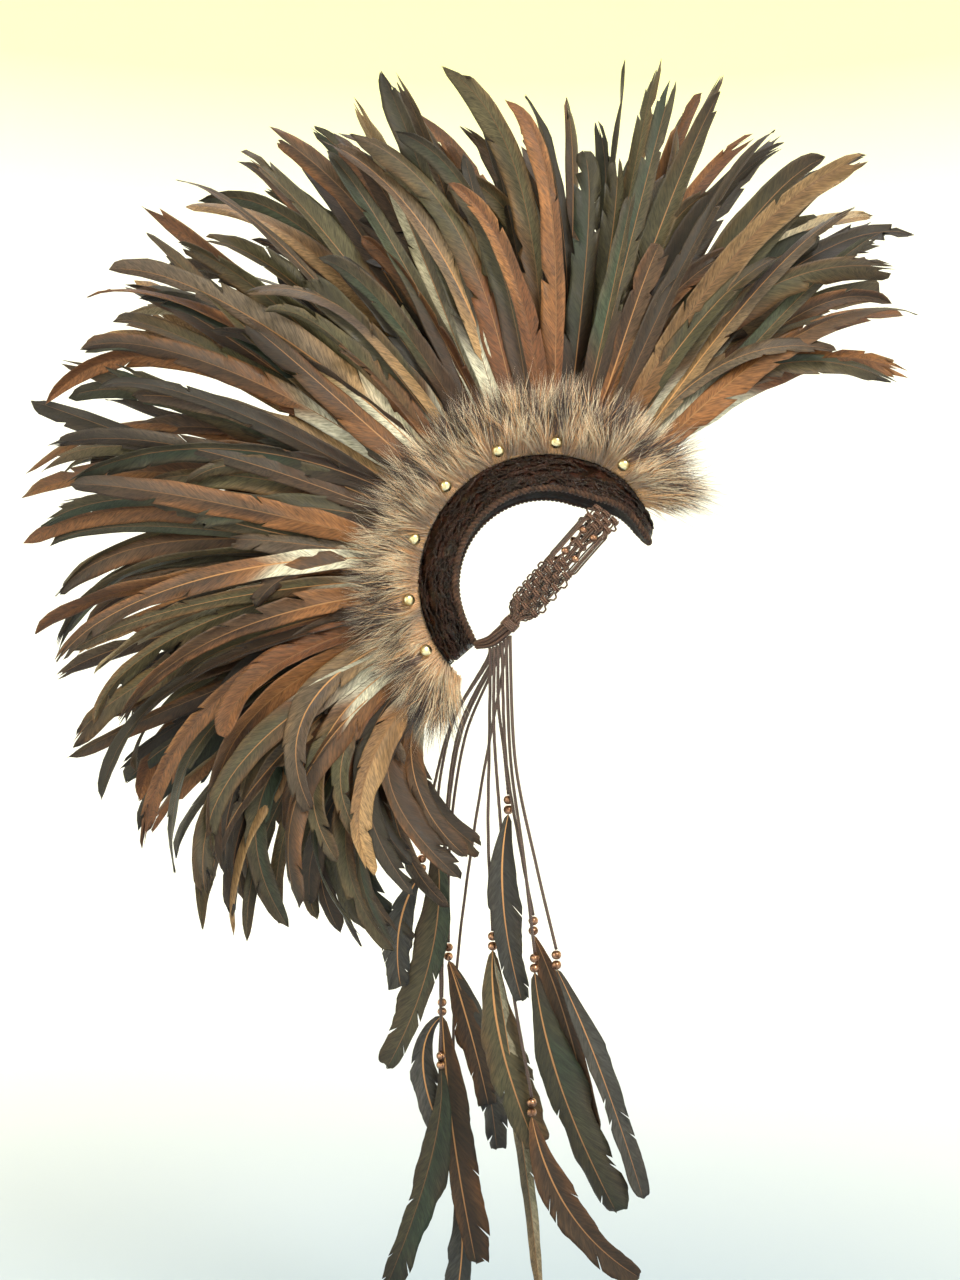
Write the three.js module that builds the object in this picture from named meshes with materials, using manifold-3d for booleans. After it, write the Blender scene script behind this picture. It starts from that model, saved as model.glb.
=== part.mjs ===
// Feathered crest headdress, in millimetres: +Z up, the face looks along -Y, and the wearer's right side is -X.
// The origin is the seat on the crown of the head, under the middle of the saddle.
// Angles run round the crest's centre, from straight ahead (0) over the crown (90) to the nape.
import * as THREE from "three";
import { mergeVertices } from "three/addons/utils/BufferGeometryUtils.js";
import Module from "manifold-3d";

const wasm = await Module();
wasm.setup();

// The head that it sits on, as a ring of round sections.
const crownRadius = 99;
const headSideRadius = 76;
const clearance = 0.3;

// The padded saddle.
const saddleSide = 48;
const saddleRise = 17;
const saddleEdgeWall = 3.5;
const ridgeHalfWidth = 20;
const saddleFold = 1.6;
const foldSpacing = 19;
const rimRadius = 2.5;

// The fur on its hide.
const hideWall = 4;
const hideHeight = 25;
const hideLean = 9;
const furLength = 47;
const lockWidth = 18;
const hideSeat = 2.8 * clearance;

// The studs.
const studRadius = 5.8;
const studHeight = 8.6;

// The crest of tail feathers.
const crestReach = 511;
const quillBarHalfWidth = 13;
const quillBarHeight = 9;
const plumeWidth = 28;
const plumeCamber = 2.6;
const rowLean = 50;
const plumesInRow = 17;

// The knotted bands with their beads, and the ties.
const bandWidth = 30;
const bandWall = 3;
const bandBeadRadius = 3.75;
const tieRadius = 6;

// The hanging cords and their drops.
const cordDiameter = 2.9;
const firstCordShare = 0.14;
const cordShareStep = 0.1;
const cordFall = 6;
const cordSides = 8;
const dropBeadRadius = 4.5;
const quillRadius = 1.6;

const radians = THREE.MathUtils.degToRad;
const crestCentre = new THREE.Vector3(0, 0, -crownRadius);

// The saddle's sections: the share of its side width, and of its rise over the crown.
const saddleTable = [
  { angle: 23, width: 0.1, rise: 0.35 },
  { angle: 25, width: 0.27, rise: 0.6 },
  { angle: 30, width: 0.42, rise: 0.72 },
  { angle: 37, width: 0.5, rise: 0.76 },
  { angle: 44, width: 0.6, rise: 0.84 },
  { angle: 52, width: 0.79, rise: 0.96 },
  { angle: 60, width: 0.94, rise: 1 },
  { angle: 70, width: 1, rise: 1 },
  { angle: 200, width: 1, rise: 1 },
  { angle: 213, width: 0.98, rise: 1 },
  { angle: 221, width: 0.9, rise: 0.92 },
];

// The crest's outline: how far the tips reach, as a share of the crest's reach.
const reachTable = [
  { angle: 26, reach: 0.79 },
  { angle: 36, reach: 0.84 },
  { angle: 50, reach: 0.95 },
  { angle: 62, reach: 1 },
  { angle: 74, reach: 0.98 },
  { angle: 86, reach: 0.93 },
  { angle: 100, reach: 0.95 },
  { angle: 124, reach: 0.96 },
  { angle: 158, reach: 0.96 },
  { angle: 185, reach: 0.92 },
  { angle: 212, reach: 0.9 },
  { angle: 226, reach: 0.85 },
  { angle: 238, reach: 0.76 },
  { angle: 250, reach: 0.72 },
];

// How far a feather's tip turns from its root's angle, in degrees.
const bendTable = [
  { angle: 47, bend: -18 },
  { angle: 62, bend: -11 },
  { angle: 78, bend: -4 },
  { angle: 95, bend: 3 },
  { angle: 140, bend: 7 },
  { angle: 185, bend: 9 },
  { angle: 205, bend: 15 },
  { angle: 222, bend: 24 },
];

const crestFrom = 48;
const crestTo = 221;
const crestSectors = 5;

const hideFrom = 40;
const hideTo = 227;

// The studs stand at these angles.
const studAngles = [56.9, 86.4, 110.6, 136.8, 162.2, 187.5, 209.5];

// The band's centre line on the side of the head, from the saddle's front to the ear.
const bandRoute = [
  [50.6, -52.7, -38.3],
  [70, -35, -58],
  [76.5, -13, -83],
  [78, 9, -108],
  [75, 29, -132],
];

// The tie's centre line, from the band's end to the saddle's rear corner.
const tieRoute = [
  [76.3, 30, -133.1],
  [73, 39, -142.5],
  [66, 51, -152.5],
  [52, 64.7, -156.5],
];

// The points that each hanging cord passes below its tie, and what hangs on it.
// Widths are shares of a tail feather's width.
const rightDrops = [
  {
    route: [[-73, 30, -260], [-76, 12, -350], [-76, -6, -425]],
    feathers: [{ via: [-76, -45, -533], tip: [-76, -83, -646], width: 0.7 }],
  },
  {
    route: [[-68, 34, -260], [-70, 22, -350], [-70, 13, -429]],
    feathers: [{ via: [-70, -10, -547], tip: [-70, -60, -660], width: 1.2 }],
  },
  {
    route: [[-64, 38, -260], [-64, 25, -340], [-64, 14, -397]],
    feathers: [{ via: [-64, -15, -490], tip: [-64, -41, -595], width: 0.9 }],
  },
  {
    route: [[-63, 45, -210], [-59, 40, -250], [-58, 36, -290]],
    feathers: [{ via: [-58, 41, -384], tip: [-58, 24, -475], width: 0.95 }],
  },
  {
    route: [[-59, 49, -230], [-53, 42, -330], [-52, 34, -450], [-52, 15, -562]],
    feathers: [{ via: [-52, -19, -665], tip: [-52, -82, -724], width: 1 }],
  },
  {
    route: [[-50, 53, -240], [-46, 54, -330], [-46, 50, -414]],
    feathers: [
      { via: [-46, 43, -513], tip: [-46, 11, -608], width: 1.2 },
      { via: [-44, 24, -600], tip: [-43, 7, -747], width: 0.5 },
    ],
  },
];
const leftDrops = [
  {
    route: [[70, 66, -330], [70, 86, -500], [70, 85, -677]],
    feathers: [{ via: [70, 79, -746], tip: [70, 91, -824], width: 0.9 }],
  },
  {
    route: [[68, 74, -240], [64, 90, -340], [64, 92, -445]],
    feathers: [
      { via: [64, 71, -530], tip: [64, 53, -603], width: 0.9 },
      { via: [66, 61, -550], tip: [67, 45, -647], width: 0.9 },
    ],
  },
  {
    route: [[62, 79, -240], [58, 96, -370], [58, 98, -497]],
    feathers: [
      { via: [58, 88, -625], tip: [58, 65, -755], width: 1 },
      { via: [60, 115, -577], tip: [61, 68, -686], width: 0.9 },
    ],
  },
  {
    route: [[56, 82, -240], [52, 98, -400], [52, 99, -547]],
    feathers: [{ via: [52, 109, -652], tip: [52, 153, -777], width: 1 }],
  },
  {
    route: [[50, 85, -225], [46, 98, -275], [46, 104, -324]],
    feathers: [{ via: [46, 107, -449], tip: [46, 151, -563], width: 1.05 }],
  },
  {
    route: [[44, 88, -230], [40, 106, -295], [40, 117, -356]],
    feathers: [{ via: [40, 138, -424], tip: [40, 137, -483], width: 0.95 }],
  },
];

// A value between the rows of a table, blended smoothly along the angle.
function between(table, column, angle) {
  const last = table.length - 1;
  if (angle <= table[0].angle) return table[0][column];
  if (angle >= table[last].angle) return table[last][column];
  const i = table.findIndex((row) => row.angle > angle) - 1;
  const [from, to] = [table[i], table[i + 1]];
  const t = (angle - from.angle) / (to.angle - from.angle);
  return THREE.MathUtils.lerp(from[column], to[column], t);
}

// The point at an angle and a distance from the crest's centre, x out to the side.
function polar(angle, radius, x) {
  const a = radians(angle);
  return new THREE.Vector3(x, -radius * Math.cos(a), crestCentre.z + radius * Math.sin(a));
}

// A steady value between -1 and 1 for a whole number, for small natural differences.
function scatter(n) {
  const s = Math.sin(n * 127.1 + 11.7) * 43758.5453;
  return 2 * (s - Math.floor(s)) - 1;
}

// Turns a closed mesh's faces outwards.
function facingOut(geometry) {
  const p = geometry.getAttribute("position");
  const index = geometry.index.array;
  const [a, b, c] = [new THREE.Vector3(), new THREE.Vector3(), new THREE.Vector3()];
  let volume = 0;
  for (let i = 0; i < index.length; i += 3) {
    a.fromBufferAttribute(p, index[i]);
    b.fromBufferAttribute(p, index[i + 1]);
    c.fromBufferAttribute(p, index[i + 2]);
    volume += a.dot(b.cross(c));
  }
  if (volume < 0)
    for (let i = 0; i < index.length; i += 3)
      [index[i + 1], index[i + 2]] = [index[i + 2], index[i + 1]];
  return geometry;
}

// A closed skin over rings of points. A ring of one point is a tip.
function loft(rings) {
  const points = rings.flat();
  const index = [];
  const count = rings[0].length;
  for (let k = 2; k < count; k++) index.push(0, k, k - 1);
  let base = 0;
  for (let r = 0; r + 1 < rings.length; r++) {
    const next = base + rings[r].length;
    for (let k = 0; k < count; k++) {
      const k2 = (k + 1) % count;
      if (rings[r + 1].length === 1) index.push(base + k, base + k2, next);
      else index.push(base + k, base + k2, next + k2, base + k, next + k2, next + k);
    }
    base = next;
  }
  if (rings.at(-1).length > 1)
    for (let k = 2; k < count; k++) index.push(base, base + k - 1, base + k);
  const geometry = new THREE.BufferGeometry().setFromPoints(points);
  geometry.setIndex(index);
  return facingOut(geometry);
}

// One closed solid from several that reach into each other.
function fused(geometries) {
  const solids = geometries.map((geometry) => {
    const bare = geometry.clone();
    bare.deleteAttribute("normal");
    bare.deleteAttribute("uv");
    const merged = mergeVertices(bare, 1e-3);
    return new wasm.Manifold(
      new wasm.Mesh({
        numProp: 3,
        vertProperties: merged.attributes.position.array,
        triVerts: new Uint32Array(merged.index.array),
      }),
    );
  });
  const mesh = solids.reduce((all, solid) => all.add(solid)).getMesh();
  const geometry = new THREE.BufferGeometry();
  geometry.setAttribute("position", new THREE.BufferAttribute(mesh.vertProperties, 3));
  geometry.setIndex(new THREE.BufferAttribute(mesh.triVerts, 1));
  return geometry;
}

// A round bar of even thickness along a curve.
function tube(curve, radius, sides, steps) {
  const section = new THREE.Shape();
  for (let k = 0; k < sides; k++) {
    const a = (2 * Math.PI * k) / sides;
    if (k) section.lineTo(radius * Math.cos(a), radius * Math.sin(a));
    else section.moveTo(radius, 0);
  }
  return new THREE.ExtrudeGeometry(section, { steps, bevelEnabled: false, extrudePath: curve });
}

// The head's outline at a distance x from its middle, measured from the crest's centre.
function headRadius(x) {
  const axis = crownRadius - headSideRadius;
  return axis + Math.sqrt(headSideRadius ** 2 - x ** 2);
}

function saddleTop(angle) {
  return crownRadius + saddleRise * between(saddleTable, "rise", angle);
}

function saddleHalfWidth(angle) {
  return saddleSide * between(saddleTable, "width", angle);
}

// The saddle's section at an angle: the seat on the head, then over the two flanks and the ridge.
function saddleSection(angle) {
  const half = saddleHalfWidth(angle);
  const top = saddleTop(angle);
  const ridge = Math.min(ridgeHalfWidth, 0.66 * half);
  const seat = [-1, -0.6, -0.2, 0.2, 0.6, 1].map((share) => [share * half, headRadius(share * half)]);
  const outX = half / headSideRadius;
  const outR = Math.sqrt(1 - outX ** 2);
  const edge = [half + saddleEdgeWall * outX, headRadius(half) + saddleEdgeWall * outR];
  const fold = saddleFold * Math.sin((2 * Math.PI * angle) / foldSpacing);
  const thin = (top - crownRadius) / saddleRise;
  const belly = (2.5 + fold) * thin;
  const flank = (share, bulge) => [
    THREE.MathUtils.lerp(edge[0], ridge, share) + bulge * outR * 0.7,
    THREE.MathUtils.lerp(edge[1], top, share) + bulge * 0.5,
  ];
  const side = [edge, flank(0.35, belly), flank(0.7, (3 - fold) * thin), [ridge, top]];
  const outer = [...side, [0, top - 0.4 * thin], ...side.map(([x, r]) => [-x, r]).reverse()];
  return [...seat, ...outer].map(([x, r]) => polar(angle, r, x));
}

function saddle() {
  const angles = [23, 25, 27.5, 30, 33.5, 37, 40.5, 44, 48, 52, 56, 60, 65, 70];
  for (let angle = 77.5; angle < 212; angle += 7.6) angles.push(angle);
  angles.push(213, 217, 221);
  return loft(angles.map(saddleSection));
}

// The edge that the rim is bound to: it lies on the head, right side first, round the tongue's tip.
function rimCurve() {
  const edge = [];
  for (let angle = 219; angle > 62; angle -= 7.5) edge.push([angle, -1]);
  for (const angle of [61, 56, 52, 48, 44, 39, 34, 30, 27, 25, 23.4]) edge.push([angle, -1]);
  const right = edge.map(([angle, side]) => {
    const half = saddleHalfWidth(angle);
    return polar(angle, headRadius(half), side * half);
  });
  const tip = polar(22.5, crownRadius, 0);
  const left = right.map((p) => new THREE.Vector3(-p.x, p.y, p.z)).reverse();
  const line = new THREE.CatmullRomCurve3([...right, tip, ...left]);
  const count = 70;
  const points = [];
  for (let i = 0; i <= count; i++) {
    const p = line.getPointAt(i / count);
    const tangent = line.getTangentAt(i / count);
    const axis = crestCentre.clone();
    const radial = p.clone().sub(axis).setX(0).normalize();
    const centre = axis.add(radial.multiplyScalar(crownRadius - headSideRadius));
    const normal = p.clone().sub(centre).normalize();
    const out = tangent.clone().cross(normal).normalize();
    points.push(p.addScaledVector(normal, rimRadius).addScaledVector(out, rimRadius + 3.5 * clearance));
  }
  return new THREE.CatmullRomCurve3(points);
}

// The hide's section on one side: its foot stands on the saddle's ridge and it leans outwards.
function hideSection(angle, side) {
  const low = saddleTop(Math.min(angle, 200)) + hideSeat;
  const inner = ridgeHalfWidth - hideWall;
  return [
    [inner, low],
    [inner + hideWall, low],
    [inner + hideWall + hideLean, low + hideHeight],
    [inner + hideLean, low + hideHeight],
  ].map(([x, r]) => polar(angle, r, side * x));
}

// The hide's outer face at a height over its foot: the point, and the way that it faces.
function hideFace(angle, height, side) {
  const foot = saddleTop(Math.min(angle, 200)) + hideSeat;
  const x = ridgeHalfWidth + (hideLean * height) / hideHeight;
  const point = polar(angle, foot + height, side * x);
  const radial = polar(angle, 1, 0).sub(crestCentre);
  const lean = Math.atan2(hideLean, hideHeight);
  const normal = radial.clone().multiplyScalar(-Math.sin(lean)).setX(side * Math.cos(lean));
  return { point, radial, normal };
}

// A pointed lock of hair: three-sided, rooted inside the hide and bending outwards.
function lock(root, direction, across, length, width) {
  const thick = direction.clone().cross(across).normalize();
  const ring = (share, size) =>
    [0, 1, 2].map((k) => {
      const a = (2 * Math.PI * k) / 3 + 0.5;
      return root
        .clone()
        .addScaledVector(direction, share * length)
        .addScaledVector(across, 0.5 * width * size * Math.cos(a))
        .addScaledVector(thick, 0.3 * width * size * Math.sin(a));
    });
  const tip = root.clone().addScaledVector(direction, length);
  return loft([ring(-0.03, 0.32), ring(0.36, 1), [tip]]);
}

function fur(side) {
  const strip = [];
  for (let angle = hideFrom; angle < hideTo + 1; angle += (hideTo - hideFrom) / 20)
    strip.push(hideSection(angle, side));
  const parts = [loft(strip)];
  const endBlock = [0, 1].map((k) => {
    const angle = hideFrom + 0.5 + 4.5 * k;
    const low = saddleTop(angle) + hideSeat;
    const corners = [[0.3, low], [18, low], [18, low + 14], [0.3, low + 14]];
    return corners.map(([x, r]) => polar(angle, r, side * x));
  });
  parts.push(loft(endBlock));
  const count = 20;
  for (let row = 0; row < 2; row++)
    for (let i = 0; i <= count - row; i++) {
      const n = i + 40 * row;
      const angle = hideFrom + 3 + ((hideTo - hideFrom - 5) * (i + 0.5 * row)) / count;
      const nearStud = studAngles.some((at) => Math.abs(at - angle) < 6.6);
      if (row && nearStud) continue;
      const { point, radial, normal } = hideFace(angle, row ? 9 : hideHeight - 3, side);
      const along = radial.clone().cross(new THREE.Vector3(1, 0, 0)).normalize();
      const ahead = THREE.MathUtils.clamp((62 - angle) / 22, 0, 1) - THREE.MathUtils.clamp((angle - 205) / 30, 0, 1);
      const direction = radial
        .clone()
        .addScaledVector(normal, row ? 0.62 : 0.3)
        .addScaledVector(along, 0.14 * scatter(n) - 0.9 * ahead)
        .normalize();
      const across = along.clone().addScaledVector(direction, -along.dot(direction)).normalize();
      const root = point.clone().addScaledVector(normal, -0.5 * hideWall);
      parts.push(lock(root, direction, across, furLength * (1 + 0.1 * scatter(n + 7)), lockWidth));
    }
  for (const [x, turn] of [[7.5, 1.1], [14.5, 0.8]]) {
    const { radial } = hideFace(hideFrom + 3, 0, side);
    const along = radial.clone().cross(new THREE.Vector3(1, 0, 0)).normalize();
    const root = polar(hideFrom + 3, saddleTop(hideFrom + 3) + 8, side * x);
    const direction = radial.clone().addScaledVector(along, -turn).normalize();
    parts.push(lock(root, direction, new THREE.Vector3(1, 0, 0), furLength * 1.15, lockWidth * 0.7));
  }
  return fused(parts);
}

// A stud's dome, its flat back on the hide's outer face.
function stud(angle, side) {
  const profile = [[0, 0], [0.88, 0], [1, 0.35], [0.68, 0.82], [0, 1]];
  const outline = profile.map(([r, h]) => new THREE.Vector2(r * studRadius, h * studHeight));
  const geometry = new THREE.LatheGeometry(outline, 10);
  const { point, normal } = hideFace(angle, 12, side);
  const turn = new THREE.Quaternion().setFromUnitVectors(new THREE.Vector3(0, 1, 0), normal.normalize());
  const seat = point.addScaledVector(normal, 1.6 * clearance);
  return { geometry, turn, seat };
}

// A long curved feather: a thin blade with a raised shaft line, from root to tip.
function plume(curve, width, flat) {
  const stations = [
    { at: 0, width: 0.22 },
    { at: 0.34, width: 0.8 },
    { at: 0.72, width: 1 },
    { at: 0.93, width: 0.6 },
  ];
  const rings = stations.map((station) => {
    const p = curve.getPoint(station.at);
    const tangent = curve.getTangent(station.at);
    const across = flat.clone().cross(tangent).normalize();
    const out = tangent.clone().cross(across).normalize();
    const half = 0.5 * width * station.width;
    return [
      p.clone().addScaledVector(across, half).addScaledVector(out, -0.3 * plumeCamber),
      p.clone().addScaledVector(out, 0.7 * plumeCamber),
      p.clone().addScaledVector(across, -half).addScaledVector(out, -0.3 * plumeCamber),
    ];
  });
  return loft([...rings, [curve.getPoint(1)]]);
}

// One sector of the crest: its stretch of the quill bar with the feathers rooted in it.
function crest(sector) {
  const span = (crestTo - crestFrom) / crestSectors;
  const from = crestFrom + span * sector;
  const gapAngle = 0.2;
  const bar = [];
  for (let k = 0; k <= 4; k++) {
    const angle = from + gapAngle + ((span - 2 * gapAngle) * k) / 4;
    const low = saddleTop(angle) + 2 * clearance;
    const corners = [[-1, 0], [1, 0], [1, 1], [-1, 1]];
    bar.push(corners.map(([x, h]) => polar(angle, low + h * quillBarHeight, x * quillBarHalfWidth)));
  }
  const parts = [loft(bar)];
  const step = (crestTo - crestFrom - 5) / (plumesInRow - 1);
  for (let row = -2; row <= 2; row++)
    for (let i = 0; i < plumesInRow; i++) {
      const n = i + 31 * (row + 2);
      const even = crestFrom + 1.5 + step * i + (row % 2 ? step * 0.4 : 0) + 0.5 * scatter(n);
      if (even <= from || even >= from + span) continue;
      const root = THREE.MathUtils.clamp(even, from + 1.9, from + span - 1.9);
      const foot = saddleTop(root) + 0.5 * quillBarHeight;
      const bend = between(bendTable, "bend", root) + 1.6 * scatter(n + 200);
      const share = 0.955 + 0.055 * scatter(n + 400) - 0.02 * Math.abs(row);
      const reach = crestReach * between(reachTable, "reach", root + bend) * share;
      const lean = (rowLean * row) / 2;
      const x = row * (0.45 * quillBarHalfWidth);
      const curve = new THREE.QuadraticBezierCurve3(
        polar(root, foot, x),
        polar(root + 0.12 * bend, 0.62 * reach, x + 0.35 * lean),
        polar(root + bend, reach, x + lean),
      );
      const flat = new THREE.Vector3(1, 0, 0.1 * scatter(n + 600)).normalize();
      parts.push(plume(curve, plumeWidth * (1 + 0.1 * scatter(n + 800)), flat));
    }
  return fused(parts);
}

// The knotted band: a strap with scalloped rear edge, rows of gaps and two windows of beads.
const bandCurve = new THREE.CatmullRomCurve3(bandRoute.map((p) => new THREE.Vector3(...p)));
const bandLength = bandCurve.getLength();
const windowPlaces = [0.26, 0.45];
const windowOffset = 0.19 * bandWidth;
const windowRadius = (bandBeadRadius + clearance) / Math.cos(Math.PI / 8);

// The band's frame at a distance along it: a point, the way across it and the way out of the head.
function bandFrame(along) {
  const at = THREE.MathUtils.clamp(along / bandLength, 0, 1);
  const p = bandCurve.getPointAt(at);
  const tangent = bandCurve.getTangentAt(at);
  const axis = new THREE.Vector3(0, 0, -crownRadius - 14);
  const radial = p.clone().sub(axis);
  const out = radial.addScaledVector(tangent, -radial.dot(tangent)).normalize();
  return { p, out, across: tangent.clone().cross(out).normalize() };
}

function band(side) {
  const shape = new THREE.Shape();
  const half = bandWidth / 2;
  const pieces = 14;
  const edge = (share) => {
    const taper = THREE.MathUtils.clamp((1 - share) / 0.08, 0.5, 1);
    return half * taper;
  };
  const outline = [];
  for (let i = 0; i <= pieces; i++) {
    const scallop = i % 2 ? 1.4 : 0;
    outline.push([(bandLength * i) / pieces, edge(i / pieces) + scallop]);
  }
  for (let i = pieces; i >= 0; i--) outline.push([(bandLength * i) / pieces, -edge(i / pieces)]);
  shape.setFromPoints(outline.map(([u, v]) => new THREE.Vector2(u, v)));
  const hole = (u, v, ru, rv, sides) => {
    const points = [];
    for (let k = 0; k < sides; k++) {
      const a = (2 * Math.PI * (k + (sides === 8 ? 0.5 : 0))) / sides;
      points.push(new THREE.Vector2(u + ru * Math.cos(a), v + rv * Math.sin(a)));
    }
    shape.holes.push(new THREE.Path(points));
  };
  for (const place of windowPlaces)
    for (const v of [-windowOffset, windowOffset])
      hole(place * bandLength, v, windowRadius, windowRadius, 8);
  for (const place of [0.07, 0.15, 0.355, 0.54, 0.62, 0.7, 0.78, 0.86])
    for (const v of [-1, 1]) hole(place * bandLength, (v * bandWidth) / 5, 3, 3.8, 4);
  const geometry = new THREE.ExtrudeGeometry(shape, { depth: bandWall, bevelEnabled: false });
  const p = geometry.getAttribute("position");
  for (let i = 0; i < p.count; i++) {
    const frame = bandFrame(p.getX(i));
    const v = p.getY(i);
    const sink = v ** 2 / (2 * headSideRadius);
    const place = frame.p.addScaledVector(frame.across, v).addScaledVector(frame.out, p.getZ(i) - sink);
    p.setXYZ(i, side * place.x, place.y, place.z);
  }
  geometry.deleteAttribute("normal");
  geometry.deleteAttribute("uv");
  return facingOut(mergeVertices(geometry, 1e-3));
}

function bandBead(index, side) {
  const place = windowPlaces[Math.floor(index / 2)] * bandLength;
  const v = index % 2 ? windowOffset : -windowOffset;
  const frame = bandFrame(place);
  const sink = v ** 2 / (2 * headSideRadius);
  const centre = frame.p.addScaledVector(frame.across, v).addScaledVector(frame.out, 0.5 * bandWall - sink);
  centre.x *= side;
  return centre;
}

// A bead's profile, turned about its own axis.
function beadProfile(radius, low) {
  return [[0.62, -0.8], [1, 0], [0.62, 0.8]].map(
    ([r, h]) => new THREE.Vector2(r * radius, low + radius * (1 + h)),
  );
}

// The gathered tie: thick at the wrapped collar, thinner where it loops to the saddle.
const tieCurve = new THREE.CatmullRomCurve3(tieRoute.map((p) => new THREE.Vector3(...p)));
function tieSize(share) {
  return tieRadius * (1 - 0.34 * Math.max(0, share - 0.45) / 0.55 - 0.12 * Math.max(0, 0.15 - share) / 0.15);
}

function tie(side) {
  const shares = [0, 0.1, 0.25, 0.4, 0.52, 0.64, 0.82, 1];
  const rings = shares.map((share) => {
    const p = tieCurve.getPointAt(share);
    const tangent = tieCurve.getTangentAt(share);
    const across = tangent.clone().cross(new THREE.Vector3(1, 0, 0)).normalize();
    const out = tangent.clone().cross(across).normalize();
    const end = share === 1 ? 0.6 : 1;
    return Array.from({ length: 8 }, (_, k) => {
      const a = (2 * Math.PI * (k + 0.5)) / 8;
      const q = p
        .clone()
        .addScaledVector(across, end * tieSize(share) * Math.cos(a))
        .addScaledVector(out, end * tieSize(share) * Math.sin(a));
      q.x *= side;
      return q;
    });
  });
  return loft(rings);
}

// Where a hanging cord leaves the underside of its tie.
function cordStart(index, side) {
  const share = firstCordShare + cordShareStep * index;
  const p = tieCurve.getPointAt(share);
  const slope = tieCurve.getTangentAt(share);
  const level = Math.hypot(slope.x, slope.y);
  const drop = (0.93 * tieSize(share) + clearance + 0.5 * cordDiameter * Math.abs(slope.z)) / level;
  return new THREE.Vector3(side * p.x, p.y, p.z - drop);
}

function cordCurve(index, side, drop) {
  const start = cordStart(index, side);
  const below = start.clone().add(new THREE.Vector3(0, 0, -cordFall));
  return new THREE.CatmullRomCurve3([start, below, ...drop.route.map((p) => new THREE.Vector3(...p))]);
}

// What hangs on a cord's end: two beads on the quill, and the feathers below them.
function dropPiece(drop) {
  const end = new THREE.Vector3(...drop.route.at(-1));
  const step = 1.96 * dropBeadRadius;
  const stack = [
    new THREE.Vector2(0, 0),
    ...beadProfile(dropBeadRadius, 0),
    ...beadProfile(dropBeadRadius, step),
    new THREE.Vector2(0, step + 2 * dropBeadRadius),
  ];
  const beads = new THREE.LatheGeometry(stack, 10);
  beads.rotateX(Math.PI / 2);
  const height = step + 2 * dropBeadRadius;
  beads.translate(end.x, end.y, end.z - clearance - height);
  const base = end.clone().setZ(end.z - clearance - height + quillRadius);
  const blades = drop.feathers.map(({ via, tip, width }) => {
    const middle = new THREE.Vector3(...via);
    const last = new THREE.Vector3(...tip);
    const control = middle.clone().multiplyScalar(2).addScaledVector(base, -0.5).addScaledVector(last, -0.5);
    const curve = new THREE.QuadraticBezierCurve3(base, control, last);
    return plume(curve, plumeWidth * width, new THREE.Vector3(1, 0, 0));
  });
  return fused([beads, ...blades]);
}

const hide = new THREE.MeshStandardMaterial({ color: 0x2e1c14, roughness: 0.35, metalness: 0 });
const furHair = new THREE.MeshStandardMaterial({ color: 0xa98457, roughness: 0.9, metalness: 0 });
const brass = new THREE.MeshStandardMaterial({ color: 0xc8b070, roughness: 0.25, metalness: 1 });
const copper = new THREE.MeshStandardMaterial({ color: 0x6e4630, roughness: 0.4, metalness: 0.9 });
const tailFeather = new THREE.MeshStandardMaterial({ color: 0x4a4638, roughness: 0.5, metalness: 0 });
const knottedCord = new THREE.MeshStandardMaterial({ color: 0x54392b, roughness: 0.6, metalness: 0 });
const waxedCord = new THREE.MeshStandardMaterial({ color: 0x3d2b24, roughness: 0.5, metalness: 0 });

const headdress = new THREE.Group();

function place(name, geometry, material, parent = headdress) {
  const mesh = new THREE.Mesh(geometry, material);
  mesh.name = name;
  parent.add(mesh);
  return mesh;
}

place("saddle", saddle(), hide);
place("rim", tube(rimCurve(), rimRadius, 8, 46), hide);
for (let sector = 0; sector < crestSectors; sector++)
  place(`crest_${sector + 1}`, crest(sector), tailFeather);

for (const [sideName, side, drops] of [["right", -1, rightDrops], ["left", 1, leftDrops]]) {
  const half = new THREE.Group();
  headdress.add(half);
  place(`fur_${sideName}`, fur(side), furHair, half);
  studAngles.forEach((angle, i) => {
    const { geometry, turn, seat } = stud(angle, side);
    const mesh = place(`stud_${sideName}_${i + 1}`, geometry, brass, half);
    mesh.quaternion.copy(turn);
    mesh.position.copy(seat);
  });
  place(`strap_${sideName}`, band(side), knottedCord, half);
  for (let i = 0; i < 2 * windowPlaces.length; i++) {
    const outline = beadProfile(bandBeadRadius, -bandBeadRadius);
    const ends = [new THREE.Vector2(0, -bandBeadRadius), new THREE.Vector2(0, bandBeadRadius)];
    const geometry = new THREE.LatheGeometry([ends[0], ...outline, ends[1]], 10);
    const mesh = place(`strap_bead_${sideName}_${i + 1}`, geometry, copper, half);
    mesh.position.copy(bandBead(i, side));
  }
  place(`tie_${sideName}`, tie(side), knottedCord, half);
  drops.forEach((drop, i) => {
    const cord = tube(cordCurve(i, side, drop), 0.5 * cordDiameter, cordSides, 6);
    place(`cord_${sideName}_${i + 1}`, cord, waxedCord, half);
    place(`drop_${sideName}_${i + 1}`, dropPiece(drop), tailFeather, half);
  });
}

export default headdress;
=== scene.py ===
"""The feathered crest headdress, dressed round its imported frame.

All lengths are in metres, +Z up. The wearer's face looks along -Y and the right side is -X. Angles run
round the crest's centre, from straight ahead (0) over the crown (90) to the nape, in degrees.
"""

import logging
import math
from dataclasses import dataclass
from enum import Enum
from typing import Callable, Sequence

import bmesh
import bpy
import numpy as np
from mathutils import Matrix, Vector, noise

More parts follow.
